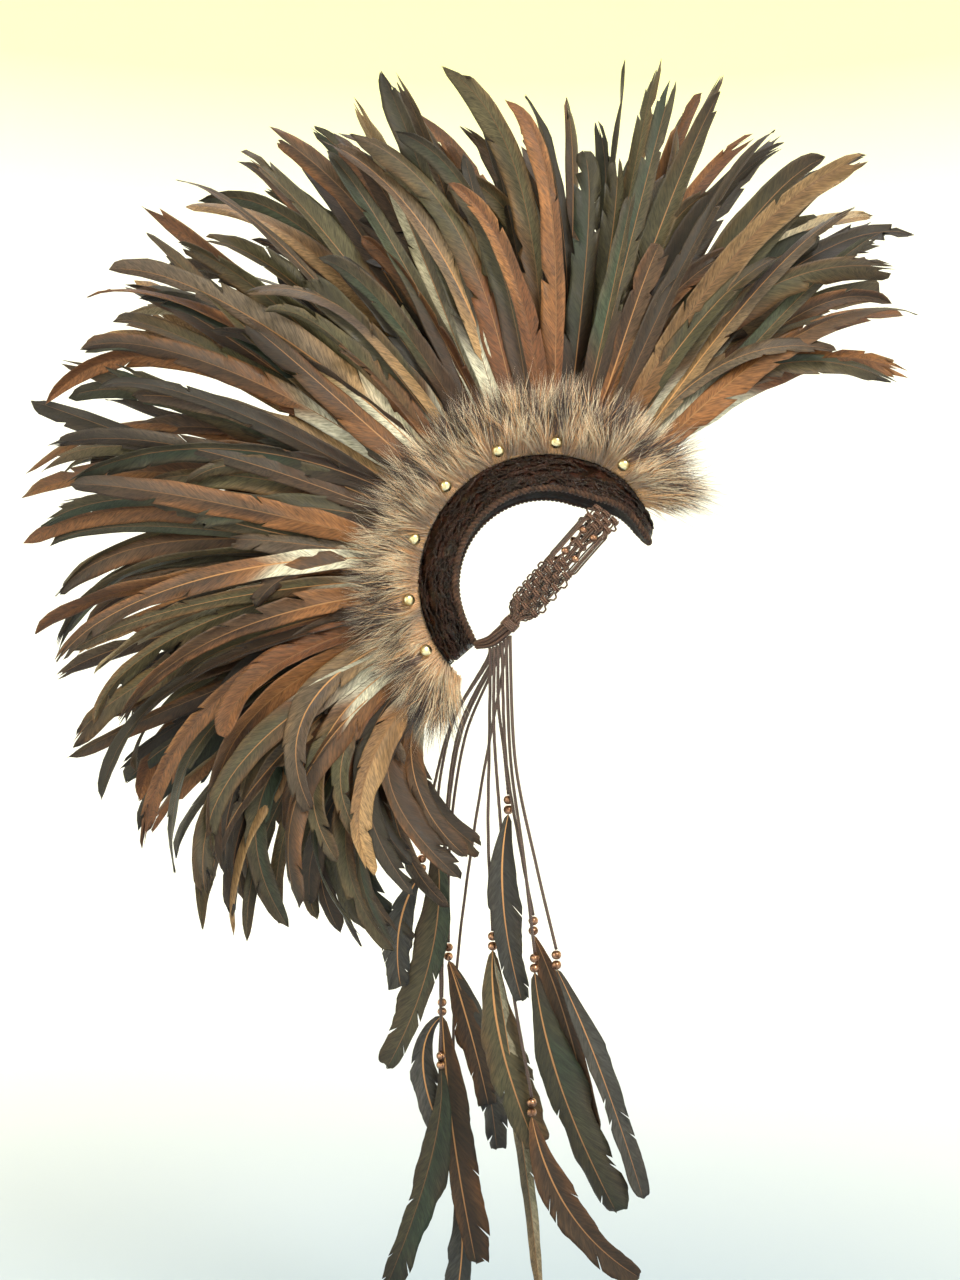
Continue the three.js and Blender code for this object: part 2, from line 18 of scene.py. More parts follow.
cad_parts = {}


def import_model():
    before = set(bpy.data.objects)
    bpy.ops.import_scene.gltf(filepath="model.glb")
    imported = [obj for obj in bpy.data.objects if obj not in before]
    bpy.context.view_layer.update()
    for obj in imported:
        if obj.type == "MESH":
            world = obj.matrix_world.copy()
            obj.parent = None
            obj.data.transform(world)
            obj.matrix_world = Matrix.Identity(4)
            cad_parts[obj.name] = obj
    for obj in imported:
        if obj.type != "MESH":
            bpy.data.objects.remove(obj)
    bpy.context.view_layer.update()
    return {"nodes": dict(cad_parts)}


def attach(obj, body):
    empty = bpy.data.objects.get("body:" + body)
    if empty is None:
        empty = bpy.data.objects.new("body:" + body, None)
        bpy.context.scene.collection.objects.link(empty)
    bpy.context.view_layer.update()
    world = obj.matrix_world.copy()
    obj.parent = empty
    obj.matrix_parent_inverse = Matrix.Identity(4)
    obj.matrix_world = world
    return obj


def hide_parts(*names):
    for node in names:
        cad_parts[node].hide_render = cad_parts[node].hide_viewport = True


LOG = logging.getLogger("headdress")

CROWN_RADIUS = 0.099
HEAD_SIDE_RADIUS = 0.076
SADDLE_SIDE = 0.048
SADDLE_RISE = 0.017
SADDLE_WALL = 0.0035
RIDGE_HALF_WIDTH = 0.020
RIM_RADIUS = 0.0025
HIDE_HEIGHT = 0.025
HIDE_LEAN = 0.009
HIDE_FROM, HIDE_TO = 40.0, 227.0
CREST_REACH = 0.511
CREST_FROM, CREST_TO = 48.0, 221.0
SECTORS = 5
STUD_ANGLES = (56.9, 86.4, 110.6, 136.8, 162.2, 187.5, 209.5)
CORD_DIAMETER = 0.0029
FIRST_CORD_SHARE, CORD_SHARE_STEP = 0.14, 0.1
CORD_FALL = 0.006
TIE_RADIUS = 0.006
PLUME_WIDTH = 0.028
SADDLE_FROM, SADDLE_TO = 23.0, 221.0
# The share of the way round the saddle's section that its top takes; the seat takes the rest.
TOP_SHARE = 0.6
# The hide's foot follows the saddle's ridge up to this angle and then keeps its height.
RIDGE_LEVEL_TO = 200
# A laid rope's colour factors: painted shade in its grooves and a painted highlight on its strands' crowns.
PAINTED_GROOVE_SHADE, PAINTED_CROWN_HIGHLIGHT = 0.45, 1.2

Colour = tuple[float, float, float]


class Side(Enum):
    """The wearer's right and left, by the sign of x."""

    RIGHT = -1
    LEFT = 1

    @property
    def word(self) -> str:
        """The side's name, as the nodes have it."""
        return self.name.lower()


SADDLE_TABLE = {
    "angle": (23, 25, 30, 37, 44, 52, 60, 70, 200, 213, 221),
    "width": (0.1, 0.27, 0.42, 0.5, 0.6, 0.79, 0.94, 1, 1, 0.98, 0.9),
    "rise": (0.35, 0.6, 0.72, 0.76, 0.84, 0.96, 1, 1, 1, 1, 0.92),
}
REACH_TABLE = {
    "angle": (26, 36, 50, 62, 74, 86, 100, 124, 158, 185, 212, 226, 238, 250),
    "reach": (0.79, 0.84, 0.95, 1, 0.98, 0.93, 0.95, 0.96, 0.96, 0.92, 0.9, 0.85, 0.76, 0.72),
}
BEND_TABLE = {
    "angle": (47, 60, 70, 77, 84, 95, 120, 150, 185, 205, 222),
    "bend": (-19, -15, -9, -2, 11, 15, 12, 13, 13, 22, 34),
}


def srgb(red: int, green: int, blue: int) -> Colour:
    """A screen colour, 0 to 255, as the linear values that shaders take."""
    return tuple(
        c / 12.92 if c <= 0.04045 else ((c + 0.055) / 1.055) ** 2.4
        for c in (red / 255, green / 255, blue / 255)
    )


def along(table: dict[str, Sequence[float]], column: str, angle: np.ndarray | float) -> np.ndarray:
    """A table's value between its rows.

    Args:
        table: Named columns, one of them "angle".
        column: The column to read.
        angle: Where to read it, in degrees.

    Returns:
        The value or values there.
    """
    return np.interp(angle, table["angle"], table[column])


def polar(angle: np.ndarray | float, radius: np.ndarray | float, x: np.ndarray | float) -> np.ndarray:
    """Points at an angle and a distance from the crest's centre.

    Args:
        angle: Degrees from straight ahead.
        radius: Distance from the centre.
        x: Place across the head.

    Returns:
        An array of points, one in each row.
    """
    a = np.radians(angle)
    parts = np.broadcast_arrays(x, -radius * np.cos(a), -CROWN_RADIUS + radius * np.sin(a))
    return np.stack(parts, axis=-1).astype(float)


def unit(v: np.ndarray) -> np.ndarray:
    """The same directions with length one."""
    return v / np.maximum(np.linalg.norm(v, axis=-1, keepdims=True), 1e-12)


def rise(value: np.ndarray, low: np.ndarray | float, high: np.ndarray | float) -> np.ndarray:
    """A straight rise from 0 at a low value to 1 at a high one."""
    return np.clip((value - low) / (high - low), 0, 1)


def head_radius(x: np.ndarray | float) -> np.ndarray:
    """The head's outline at a distance x from its middle, from the crest's centre."""
    return CROWN_RADIUS - HEAD_SIDE_RADIUS + np.sqrt(HEAD_SIDE_RADIUS**2 - np.square(x))


def saddle_top(angle: np.ndarray | float) -> np.ndarray:
    """The saddle's ridge height from the crest's centre."""
    return CROWN_RADIUS + SADDLE_RISE * along(SADDLE_TABLE, "rise", angle)


def hide_foot(angle: np.ndarray) -> np.ndarray:
    """The height of the hide's foot, which stays level where the saddle's rear end drops."""
    return saddle_top(np.minimum(angle, RIDGE_LEVEL_TO))


def smooth_line(points: Sequence[Sequence[float]], count: int) -> np.ndarray:
    """A smooth line through a few points.

    Args:
        points: The points that it passes.
        count: How many points to give, evenly spaced.

    Returns:
        Points along the line, one in each row.
    """
    p = np.asarray(points, float)
    ends = np.vstack([2 * p[0] - p[1], p, 2 * p[-1] - p[-2]])
    knots = np.cumsum(np.r_[0, np.sqrt(np.linalg.norm(np.diff(ends, axis=0), axis=1))])
    fine = []
    for i in range(1, len(ends) - 2):
        t = np.linspace(knots[i], knots[i + 1], 24, endpoint=i == len(ends) - 3)[:, None]
        t0, t1, t2, t3 = knots[i - 1 : i + 3]
        a1 = ((t1 - t) * ends[i - 1] + (t - t0) * ends[i]) / (t1 - t0)
        a2 = ((t2 - t) * ends[i] + (t - t1) * ends[i + 1]) / (t2 - t1)
        a3 = ((t3 - t) * ends[i + 1] + (t - t2) * ends[i + 2]) / (t3 - t2)
        b1 = ((t2 - t) * a1 + (t - t0) * a2) / (t2 - t0)
        b2 = ((t3 - t) * a2 + (t - t1) * a3) / (t3 - t1)
        fine.append(((t2 - t) * b1 + (t - t1) * b2) / (t2 - t1))
    return respaced(np.vstack(fine), count)


def distances(line: np.ndarray) -> np.ndarray:
    """How far along a line each of its points lies."""
    return np.r_[0, np.cumsum(np.linalg.norm(np.diff(line, axis=0), axis=1))]


def between(at: np.ndarray, knots: np.ndarray, rows: np.ndarray) -> np.ndarray:
    """Rows of values given at some knots, read between them."""
    return np.stack([np.interp(at, knots, rows[:, k]) for k in range(rows.shape[1])], axis=1)


def respaced(line: np.ndarray, count: int) -> np.ndarray:
    """The same line with evenly spaced points."""
    far = distances(line)
    return between(np.linspace(0, far[-1], count), far, line)


def carried(points: np.ndarray, values: np.ndarray, count: int) -> np.ndarray:
    """Values given at a line's points, read at evenly spaced places along it."""
    far = distances(points)
    return np.interp(np.linspace(0, far[-1], count), far, values)


def frames(line: np.ndarray, first: Sequence[float]) -> tuple[np.ndarray, np.ndarray, np.ndarray]:
    """Directions that follow a line without turning about it.

    Args:
        line: Points along the line.
        first: Roughly the way across it at its start.

    Returns:
        The way along, the way across and the third way, one row for each point.
    """
    tangent = unit(np.gradient(line, axis=0))
    across = np.empty_like(tangent)
    last = np.asarray(first, float)
    for i, t in enumerate(tangent):
        last = last - t * (last @ t)
        last = last / max(np.linalg.norm(last), 1e-9)
        across[i] = last
    return tangent, across, np.cross(tangent, across)


@dataclass
class Mould:
    """One shape's points and faces, ready to be copied many times."""

    points: np.ndarray
    loops: np.ndarray
    sizes: np.ndarray

    @classmethod
    def of(cls, bm: bmesh.types.BMesh) -> "Mould":
        """Takes a shape's points and faces.

        Args:
            bm: The shape, which is freed.

        Returns:
            The mould.
        """
        bm.verts.index_update()
        points = np.array([v.co[:] for v in bm.verts])
        loops = np.array([v.index for f in bm.faces for v in f.verts], np.int32)
        sizes = np.array([len(f.verts) for f in bm.faces], np.int32)
        bm.free()
        return cls(points, loops, sizes)

    def row(self, steps: int) -> np.ndarray:
        """Which step along the mould each of its points is at."""
        return np.rint(self.points[:, 0] * steps).astype(int)

    def turn(self) -> np.ndarray:
        """Each point's angle round a tube mould, in radians."""
        return np.arctan2(self.points[:, 2], self.points[:, 1])


def blade_mould(stations: int, columns: int) -> Mould:
    """A closed flat blade: x runs along it from 0 to 1, y across it and z is -1 or 1 by its face.

    Args:
        stations: Steps along it.
        columns: Steps across it.

    Returns:
        The mould.
    """
    bm = bmesh.new()
    bmesh.ops.create_grid(bm, x_segments=stations, y_segments=columns, size=1)
    made = bmesh.ops.extrude_face_region(bm, geom=bm.faces[:])
    top = [v for v in made["geom"] if isinstance(v, bmesh.types.BMVert)]
    for v in bm.verts:
        v.co.z = -1
        v.co.x = (v.co.x + 1) / 2
    for v in top:
        v.co.z = 1
    bmesh.ops.recalc_face_normals(bm, faces=bm.faces[:])
    return Mould.of(bm)


def tube_mould(steps: int, sides: int) -> Mould:
    """A closed round bar: x is 0 to 1 along it, y and z are a point on the unit circle.

    Args:
        steps: Steps along it.
        sides: Points round it.

    Returns:
        The mould.
    """
    bm = bmesh.new()
    bmesh.ops.create_cone(bm, cap_ends=True, segments=sides, radius1=1, radius2=1, depth=1)
    return laid_mould(bm, steps)


def laid_mould(bm: bmesh.types.BMesh, steps: int) -> Mould:
    """Lays an upright cone along x, from 0 to 1, and cuts it into steps.

    Args:
        bm: The cone, which is freed.
        steps: Steps along it.

    Returns:
        The mould.
    """
    for v in bm.verts:
        v.co = Vector((v.co.z + 0.5, v.co.x, v.co.y))
    long_edges = [e for e in bm.edges if abs(e.verts[0].co.x - e.verts[1].co.x) > 0.5]
    bmesh.ops.subdivide_edges(bm, edges=long_edges, cuts=steps - 1)
    bmesh.ops.recalc_face_normals(bm, faces=bm.faces[:])
    return Mould.of(bm)


def spike_mould() -> Mould:
    """A closed three-sided hair: x is 0 at its root, 0.5 at its bend and 1 at its tip.

    Returns:
        The mould.
    """
    bm = bmesh.new()
    bmesh.ops.create_cone(bm, cap_ends=True, segments=3, radius1=1, radius2=0, depth=1)
    bmesh.ops.remove_doubles(bm, verts=bm.verts[:], dist=1e-5)
    return laid_mould(bm, 2)


class Heap:
    """Many copies of moulds, joined into one object."""

    def __init__(self) -> None:
        """Starts empty."""
        self.points: list[np.ndarray] = []
        self.loops: list[np.ndarray] = []
        self.sizes: list[np.ndarray] = []
        self.tints: list[np.ndarray] = []
        self.places: list[np.ndarray] = []
        self.count = 0

    def add(self, mould: Mould, points: np.ndarray, tint: np.ndarray, place: np.ndarray) -> None:
        """Adds a copy.

        Args:
            mould: The shape that it is a copy of.
            points: Where the mould's points go.
            tint: The colour at each point, or one for all, with or without a fourth value.
            place: Two values at each point for the piece's UV map.
        """
        self.points.append(points)
        self.loops.append(mould.loops + self.count)
        self.sizes.append(mould.sizes)
        tint = np.broadcast_to(tint, (len(points), np.shape(tint)[-1]))
        self.tints.append(tint if tint.shape[1] == 4 else np.hstack([tint, np.ones((len(points), 1))]))
        self.places.append(place)
        self.count += len(points)

    def made(self, name: str, node: str, slot: str, finish: bpy.types.Material) -> bpy.types.Object:
        """Makes the object, which rides on the root in place of a solid of the frame.

        Args:
            name: Its name.
            node: The solid that it stands for.
            slot: Not used.
            finish: Its material.

        Returns:
            The object.
        """
        points, loops = np.vstack(self.points), np.concatenate(self.loops)
        sizes = np.concatenate(self.sizes)
        mesh = bpy.data.meshes.new(name)
        mesh.vertices.add(len(points))
        mesh.vertices.foreach_set("co", points.astype(np.float32).ravel())
        mesh.loops.add(len(loops))
        mesh.loops.foreach_set("vertex_index", loops)
        mesh.polygons.add(len(sizes))
        mesh.polygons.foreach_set("loop_start", np.r_[0, np.cumsum(sizes)[:-1]].astype(np.int32))
        mesh.update(calc_edges=True)
        layer = mesh.attributes.new("tint", "FLOAT_COLOR", "POINT")
        layer.data.foreach_set("color", np.vstack(self.tints).astype(np.float32).ravel())
        uv = mesh.uv_layers.new(name="place")
        uv.data.foreach_set("uv", np.vstack(self.places)[loops].astype(np.float32).ravel())
        mesh.polygons.foreach_set("use_smooth", np.ones(len(sizes), bool))
        obj = in_scene(name, mesh, finish)
        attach(obj, "root")
        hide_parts(node)
        LOG.info("%s: %d faces", name, len(mesh.polygons))
        return obj


def in_scene(name: str, data: bpy.types.ID, finish: bpy.types.Material | None = None) -> bpy.types.Object:
    """Puts an object in the scene.

    Args:
        name: Its name.
        data: Its mesh, lamp or camera.
        finish: Its material, if it has one.

    Returns:
        The object.
    """
    obj = bpy.data.objects.new(name, data)
    bpy.context.scene.collection.objects.link(obj)
    if finish:
        obj.data.materials.append(finish)
    return obj


def bar(heap: Heap, mould: Mould, line: np.ndarray, radius: np.ndarray | float,
        shade: np.ndarray | float = 1.0, first: Sequence[float] = (1, 0, 0), ridges: int = 0,
        pitch: float = 0.01, groove: float = 0.26) -> None:
    """Adds a round bar along a line, plain or laid like a rope with painted shade in its grooves and a
    painted highlight on its crowns.

    Args:
        heap: Where it goes.
        mould: A tube mould with a step for each point of the line but one.
        line: The points that it follows.
        radius: Its radius, or one for each point.
        shade: How much darker or paler than its finish it is, or one value for each point.
        first: Roughly the way across it at its start.
        ridges: How many strands a rope has, or 0 for a plain bar.
        pitch: The length of one turn of the strands.
        groove: How deep the rope's grooves are, as a share of its radius.
    """
    _, across, third = frames(line, first)
    step, turn = mould.row(len(line) - 1), mould.turn()
    far = distances(line)[step]
    size = np.broadcast_to(radius, len(line))[step].copy()
    shade = np.broadcast_to(shade, len(line))[step].copy()
    if ridges:
        crown = np.abs(np.cos(0.5 * ridges * (turn - 2 * np.pi * far / pitch)))
        size *= 1 - groove + groove * crown
        # Painted shade in the grooves and painted highlight on the crowns, following the strands' relief.
        shade *= PAINTED_GROOVE_SHADE + (PAINTED_CROWN_HIGHLIGHT - PAINTED_GROOVE_SHADE) * crown
    out = across[step] * np.cos(turn)[:, None] + third[step] * np.sin(turn)[:, None]
    tint = shade[:, None] * np.ones(3)
    heap.add(mould, line[step] + out * size[:, None], tint, np.stack([far, turn / (2 * np.pi)], 1))


class Graph:
    """A short way to write a material's or a group's nodes."""

    def __init__(self, tree: bpy.types.NodeTree) -> None:
        """Works in a node tree."""
        self.tree = tree

    def node(self, kind: str, inputs: dict | None = None, **settings: object) -> bpy.types.Node:
        """Adds a node.

        Args:
            kind: The node's type.
            inputs: Values or sockets by input name or number.
            settings: The node's own settings.

        Returns:
            The node.
        """
        made = self.tree.nodes.new(kind)
        for key, value in settings.items():
            setattr(made, key, value)
        for key, value in (inputs or {}).items():
            socket = made.inputs[key]
            if isinstance(value, bpy.types.NodeSocket):
                self.tree.links.new(value, socket)
            else:
                socket.default_value = value
        return made

    def sums(self, operation: str, *values: object) -> bpy.types.NodeSocket:
        """A Math node's result."""
        return self.node("ShaderNodeMath", dict(enumerate(values)), operation=operation).outputs[0]

    def mix(self, share: object, first: object, second: object, how: str = "MIX") -> bpy.types.NodeSocket:
        """A mix of two colours by a share."""
        made = self.node("ShaderNodeMix", {0: share, 6: first, 7: second}, data_type="RGBA", blend_type=how)
        return made.outputs[2]

    def ramp(self, share: object, *stops: tuple[float, Sequence[float]]) -> bpy.types.NodeSocket:
        """A colour ramp's colour.

        Args:
            share: Where it is read, 0 to 1.
            stops: Its places and colours.

        Returns:
            The colour.
        """
        made = self.node("ShaderNodeValToRGB", {0: share})
        marks = made.color_ramp.elements
        while len(marks) < len(stops):
            marks.new(0.5)
        for mark, (at, colour) in zip(marks, stops):
            mark.position = at
            mark.color = (*colour, 1)
        return made.outputs[0]

    def shaded(self, colour: object, shade: object) -> bpy.types.NodeSocket:
        """A colour made darker or paler by a number."""
        grey = self.node("ShaderNodeCombineColor", {0: shade, 1: shade, 2: shade}).outputs[0]
        return self.mix(1.0, colour, grey, "MULTIPLY")

    def set(self, value: bpy.types.NodeSocket, shader: bpy.types.Node, name: str) -> None:
        """Feeds one of a shader's inputs."""
        self.tree.links.new(value, shader.inputs[name])

    def bumped(self, shader: bpy.types.Node, strength: float, distance: float, height: object) -> None:
        """Feeds a shader's normal from a height."""
        bump = self.node("ShaderNodeBump", {"Strength": strength, "Distance": distance, "Height": height})
        self.set(bump.outputs[0], shader, "Normal")


def new_material(name: str) -> tuple[bpy.types.Material, Graph, bpy.types.Node]:
    """Starts a material.

    Args:
        name: Its name.

    Returns:
        The material, its graph and its Principled shader.
    """
    material = bpy.data.materials.new(name)
    material.use_nodes = True
    shader = material.node_tree.nodes["Principled BSDF"]
    return material, Graph(material.node_tree), shader


def shader_group(name: str, inputs: dict[str, float], outputs: Sequence[str],
                 fill: Callable[[Graph, bpy.types.Node, bpy.types.Node], None]) -> bpy.types.NodeTree:
    """A node group that materials share.

    Args:
        name: The group's name.
        inputs: Its number inputs with their usual values; "Vector" is a vector.
        outputs: Its outputs.
        fill: Puts in its nodes, from the group's input and output nodes.

    Returns:
        The group.
    """
    tree = bpy.data.node_groups.new(name, "ShaderNodeTree")
    for key, value in inputs.items():
        kind = "NodeSocketVector" if key == "Vector" else "NodeSocketFloat"
        socket = tree.interface.new_socket(key, in_out="INPUT", socket_type=kind)
        if kind == "NodeSocketFloat":
            socket.default_value = value
    for key in outputs:
        tree.interface.new_socket(key, in_out="OUTPUT", socket_type="NodeSocketFloat")
    graph = Graph(tree)
    fill(graph, graph.node("NodeGroupInput"), graph.node("NodeGroupOutput"))
    return tree


class Effects:
    """Effects that more than one finish uses, each built once."""

    def __init__(self) -> None:
        """Builds the groups."""
        self.fibre = shader_group(
            "fibre", {"Vector": 0, "Scale": 400.0, "Stretch": 0.1}, ("Height", "Mask"), self._fibre
        )
        self.wear = shader_group("wear", {"Vector": 0, "Scale": 60.0}, ("Mask",), self._wear)

    @staticmethod
    def _fibre(graph: Graph, given: bpy.types.Node, result: bpy.types.Node) -> None:
        """Fine threads that run along the first axis.

        Args:
            graph: The group's graph.
            given: Its input node.
            result: Its output node.
        """
        parts = graph.node("ShaderNodeSeparateXYZ", {0: given.outputs["Vector"]})
        stretched = graph.node(
            "ShaderNodeCombineXYZ",
            {0: graph.sums("MULTIPLY", parts.outputs[0], given.outputs["Stretch"]), 1: parts.outputs[1],
             2: parts.outputs[2]},
        )
        scale = given.outputs["Scale"]
        noise_in = {"Vector": stretched.outputs[0], "Scale": scale, "Detail": 3.0}
        found = graph.node("ShaderNodeTexNoise", noise_in)
        graph.tree.links.new(found.outputs[0], result.inputs["Height"])
        sharp = graph.node("ShaderNodeMapRange", {0: found.outputs[0], 1: 0.35, 2: 0.65})
        graph.tree.links.new(sharp.outputs[0], result.inputs["Mask"])

    @staticmethod
    def _wear(graph: Graph, given: bpy.types.Node, result: bpy.types.Node) -> None:
        """Cloudy patches.

        Args:
            graph: The group's graph.
            given: Its input node.
            result: Its output node.
        """
        noise_in = {"Vector": given.outputs["Vector"], "Scale": given.outputs["Scale"], "Detail": 4.0}
        found = graph.node("ShaderNodeTexNoise", noise_in)
        sharp = graph.node("ShaderNodeMapRange", {0: found.outputs[0], 1: 0.4, 2: 0.65})
        graph.tree.links.new(sharp.outputs[0], result.inputs["Mask"])

    def use(self, graph: Graph, tree: bpy.types.NodeTree, **inputs: object) -> bpy.types.Node:
        """Places a group in a material with its own values."""
        return graph.node("ShaderNodeGroup", inputs, node_tree=tree)


@dataclass(frozen=True)
class FeatherFinish:
    """Vanes of fine slanting barbs with a soft gloss."""

    name: str = "feather_vane"
    barbs_per_metre: float = 700.0
    shaft_share: float = 0.055
    shaft_dark: Colour = srgb(70, 44, 28)
    shaft_pale: Colour = srgb(214, 156, 100)
    roughness: float = 0.4
    bump: float = 0.4

    def material(self, effects: Effects) -> bpy.types.Material:
        """Builds the material.

        Args:
            effects: The shared groups.

        Returns:
            The material.
        """
        material, graph, shader = new_material(self.name)
        tint = graph.node("ShaderNodeAttribute", attribute_name="tint")
        place = graph.node("ShaderNodeUVMap", uv_map="place").outputs[0]
        parts = graph.node("ShaderNodeSeparateXYZ", {0: place})
        barb, across = parts.outputs[0], parts.outputs[1]
        turned = graph.node("ShaderNodeCombineXYZ", {0: across, 1: barb, 2: 0.0}).outputs[0]
        wave = graph.sums("SINE", graph.sums("MULTIPLY", barb, 2 * math.pi * self.barbs_per_metre))
        broad = effects.use(graph, effects.fibre, Vector=turned, Scale=240.0, Stretch=0.009)
        fine = effects.use(graph, effects.fibre, Vector=turned, Scale=680.0, Stretch=0.005)
        thinnest = 0.3 * self.shaft_share
        shaft_width = graph.sums("MULTIPLY_ADD", tint.outputs["Alpha"], self.shaft_share, thinnest)
        shaft = graph.sums("LESS_THAN", graph.sums("ABSOLUTE", across), shaft_width)
        plain = graph.sums("SUBTRACT", 1.0, shaft)
        shade = graph.sums("MULTIPLY_ADD", broad.outputs["Mask"], 0.56, 0.36)
        shade = graph.sums("MULTIPLY_ADD", fine.outputs["Mask"], 0.62, shade)
        shade = graph.sums("MULTIPLY_ADD", wave, 0.08, shade)
        vane = graph.shaded(tint.outputs["Color"], shade)
        quill = graph.mix(tint.outputs["Alpha"], (*self.shaft_dark, 1), (*self.shaft_pale, 1))
        colour = graph.mix(shaft, vane, quill)
        graph.set(colour, shader, "Base Color")
        height = graph.sums("MULTIPLY_ADD", wave, 0.3, fine.outputs["Height"])
        height = graph.sums("MULTIPLY", graph.sums("ADD", height, broad.outputs["Height"]), plain)
        graph.bumped(shader, self.bump, 0.0006, height)
        rough = graph.sums("MULTIPLY_ADD", broad.outputs["Mask"], 0.16, self.roughness)
        graph.set(rough, shader, "Roughness")
        shader.inputs["Specular IOR Level"].default_value = 0.4
        shader.inputs["Sheen Weight"].default_value = 0.06
        shader.inputs["Sheen Roughness"].default_value = 0.4
        return material


@dataclass(frozen=True)
class FurFinish:
    """Hair that takes its colour from its tint, with fine streaks."""

    name: str = "fur_hair"
    roughness: float = 0.6

    def material(self, effects: Effects) -> bpy.types.Material:
        """Builds the material.

        Args:
            effects: The shared groups.

        Returns:
            The material.
        """
        material, graph, shader = new_material(self.name)
        tint = graph.node("ShaderNodeAttribute", attribute_name="tint").outputs["Color"]
        spot = graph.node("ShaderNodeTexCoord").outputs["Object"]
        patch = effects.use(graph, effects.wear, Vector=spot, Scale=900.0)
        shade = graph.sums("MULTIPLY_ADD", patch.outputs[0], 0.35, 0.8)
        graph.set(graph.shaded(tint, shade), shader, "Base Color")
        rough = graph.sums("MULTIPLY_ADD", patch.outputs[0], 0.2, self.roughness)
        graph.set(rough, shader, "Roughness")
        shader.inputs["Sheen Weight"].default_value = 0.3
        return material


@dataclass(frozen=True)
class HideFinish:
    """Dark brown waxed hide, wrinkled and glossy on its folds."""

    name: str = "saddle_hide"
    dark: Colour = srgb(16, 8, 5)
    warm: Colour = srgb(66, 32, 20)
    roughness: float = 0.16
    gloss: float = 0.28
    coat: float = 0.16
    bump: float = 0.7

    def material(self, effects: Effects) -> bpy.types.Material:
        """Builds the material.

        Args:
            effects: The shared groups.

        Returns:
            The material.
        """
        material, graph, shader = new_material(self.name)
        tint = graph.node("ShaderNodeAttribute", attribute_name="tint")
        place = graph.node("ShaderNodeUVMap", uv_map="place").outputs[0]
        spot = graph.node("ShaderNodeTexCoord").outputs["Object"]
        thread = effects.use(graph, effects.fibre, Vector=place, Scale=900.0, Stretch=0.2)
        patch = effects.use(graph, effects.wear, Vector=spot, Scale=110.0)
        cloud = graph.sums("MULTIPLY_ADD", patch.outputs[0], 0.7, 0.2)
        share = graph.sums("MULTIPLY", thread.outputs["Mask"], cloud)
        colour = graph.mix(share, (*self.dark, 1), (*self.warm, 1))
        graph.set(graph.mix(1.0, colour, tint.outputs["Color"], "MULTIPLY"), shader, "Base Color")
        voronoi_in = {"Vector": spot, "Scale": 300.0}
        cracks = graph.node("ShaderNodeTexVoronoi", voronoi_in, feature="DISTANCE_TO_EDGE")
        height = graph.sums("MULTIPLY_ADD", cracks.outputs[0], 0.6, thread.outputs["Height"])
        graph.bumped(shader, self.bump, 0.001, height)
        rough = graph.sums("MULTIPLY_ADD", patch.outputs[0], 0.2, self.roughness)
        matt = graph.sums("SUBTRACT", 1.0, tint.outputs["Alpha"])
        rough = graph.sums("MULTIPLY_ADD", matt, 0.45, rough)
        graph.set(rough, shader, "Roughness")
        graph.set(graph.sums("MULTIPLY", tint.outputs["Alpha"], self.coat), shader, "Coat Weight")
        shader.inputs["Specular IOR Level"].default_value = self.gloss
        shader.inputs["Coat Roughness"].default_value = 0.08
        return material


@dataclass(frozen=True)
class MetalFinish:
    """Polished or antique metal, a little tarnished."""

    name: str
    bright: Colour
    tarnish: Colour
    roughness: float

    def material(self, effects: Effects) -> bpy.types.Material:
        """Builds the material.

        Args:
            effects: The shared groups.

        Returns:
            The material.
        """
        material, graph, shader = new_material(self.name)
        spot = graph.node("ShaderNodeTexCoord").outputs["Object"]
        patch = effects.use(graph, effects.wear, Vector=spot, Scale=240.0)
        colour = graph.mix(patch.outputs[0], (*self.bright, 1), (*self.tarnish, 1))
        graph.set(colour, shader, "Base Color")
        rough = graph.sums("MULTIPLY_ADD", patch.outputs[0], 0.18, self.roughness)
        graph.set(rough, shader, "Roughness")
        grain = graph.node("ShaderNodeTexNoise", {"Vector": spot, "Scale": 1800.0})
        graph.bumped(shader, 0.08, 0.0003, grain.outputs[0])
        shader.inputs["Metallic"].default_value = 1.0
        return material


@dataclass(frozen=True)
class CordFinish:
    """Waxed cord: plied threads that slant round it."""

    name: str
    dark: Colour
    light: Colour
    plies_per_metre: float = 620.0

    def material(self, effects: Effects) -> bpy.types.Material:
        """Builds the material.

        Args:
            effects: The shared groups.

        Returns:
            The material.
        """
        material, graph, shader = new_material(self.name)
        tint = graph.node("ShaderNodeAttribute", attribute_name="tint").outputs["Color"]
        place = graph.node("ShaderNodeUVMap", uv_map="place").outputs[0]
        parts = graph.node("ShaderNodeSeparateXYZ", {0: place})
        slant = graph.sums("MULTIPLY_ADD", parts.outputs[0], self.plies_per_metre, parts.outputs[1])
        ply = graph.sums("SINE", graph.sums("MULTIPLY", slant, 2 * math.pi))
        ply = graph.sums("MULTIPLY_ADD", ply, 0.5, 0.5)
        spot = graph.node("ShaderNodeTexCoord").outputs["Object"]
        patch = effects.use(graph, effects.wear, Vector=spot, Scale=320.0)
        share = graph.sums("MULTIPLY", ply, graph.sums("MULTIPLY_ADD", patch.outputs[0], 0.5, 0.5))
        colour = graph.mix(share, (*self.dark, 1), (*self.light, 1))
        graph.set(graph.mix(1.0, colour, tint, "MULTIPLY"), shader, "Base Color")
        graph.bumped(shader, 0.5, 0.0004, ply)
        rough = graph.sums("MULTIPLY_ADD", patch.outputs[0], 0.15, 0.38)
        graph.set(rough, shader, "Roughness")
        return material


@dataclass(frozen=True)
class Plumage:
    """One colouring of a feather: its colours, how pale its shaft is and how common it is."""

    base: Colour
    vane: Colour
    other: Colour
    tip: Colour
    edge: Colour
    shaft: float
    share: float


CREAM = srgb(236, 230, 208)
OLIVE, TEAL, MOSS = srgb(80, 73, 51), srgb(59, 71, 54), srgb(94, 87, 60)
BARK, SOOT, MAUVE = srgb(70, 49, 36), srgb(44, 35, 29), srgb(96, 77, 66)
GINGER, TAN, RUST = srgb(150, 98, 56), srgb(180, 142, 98), srgb(118, 72, 42)
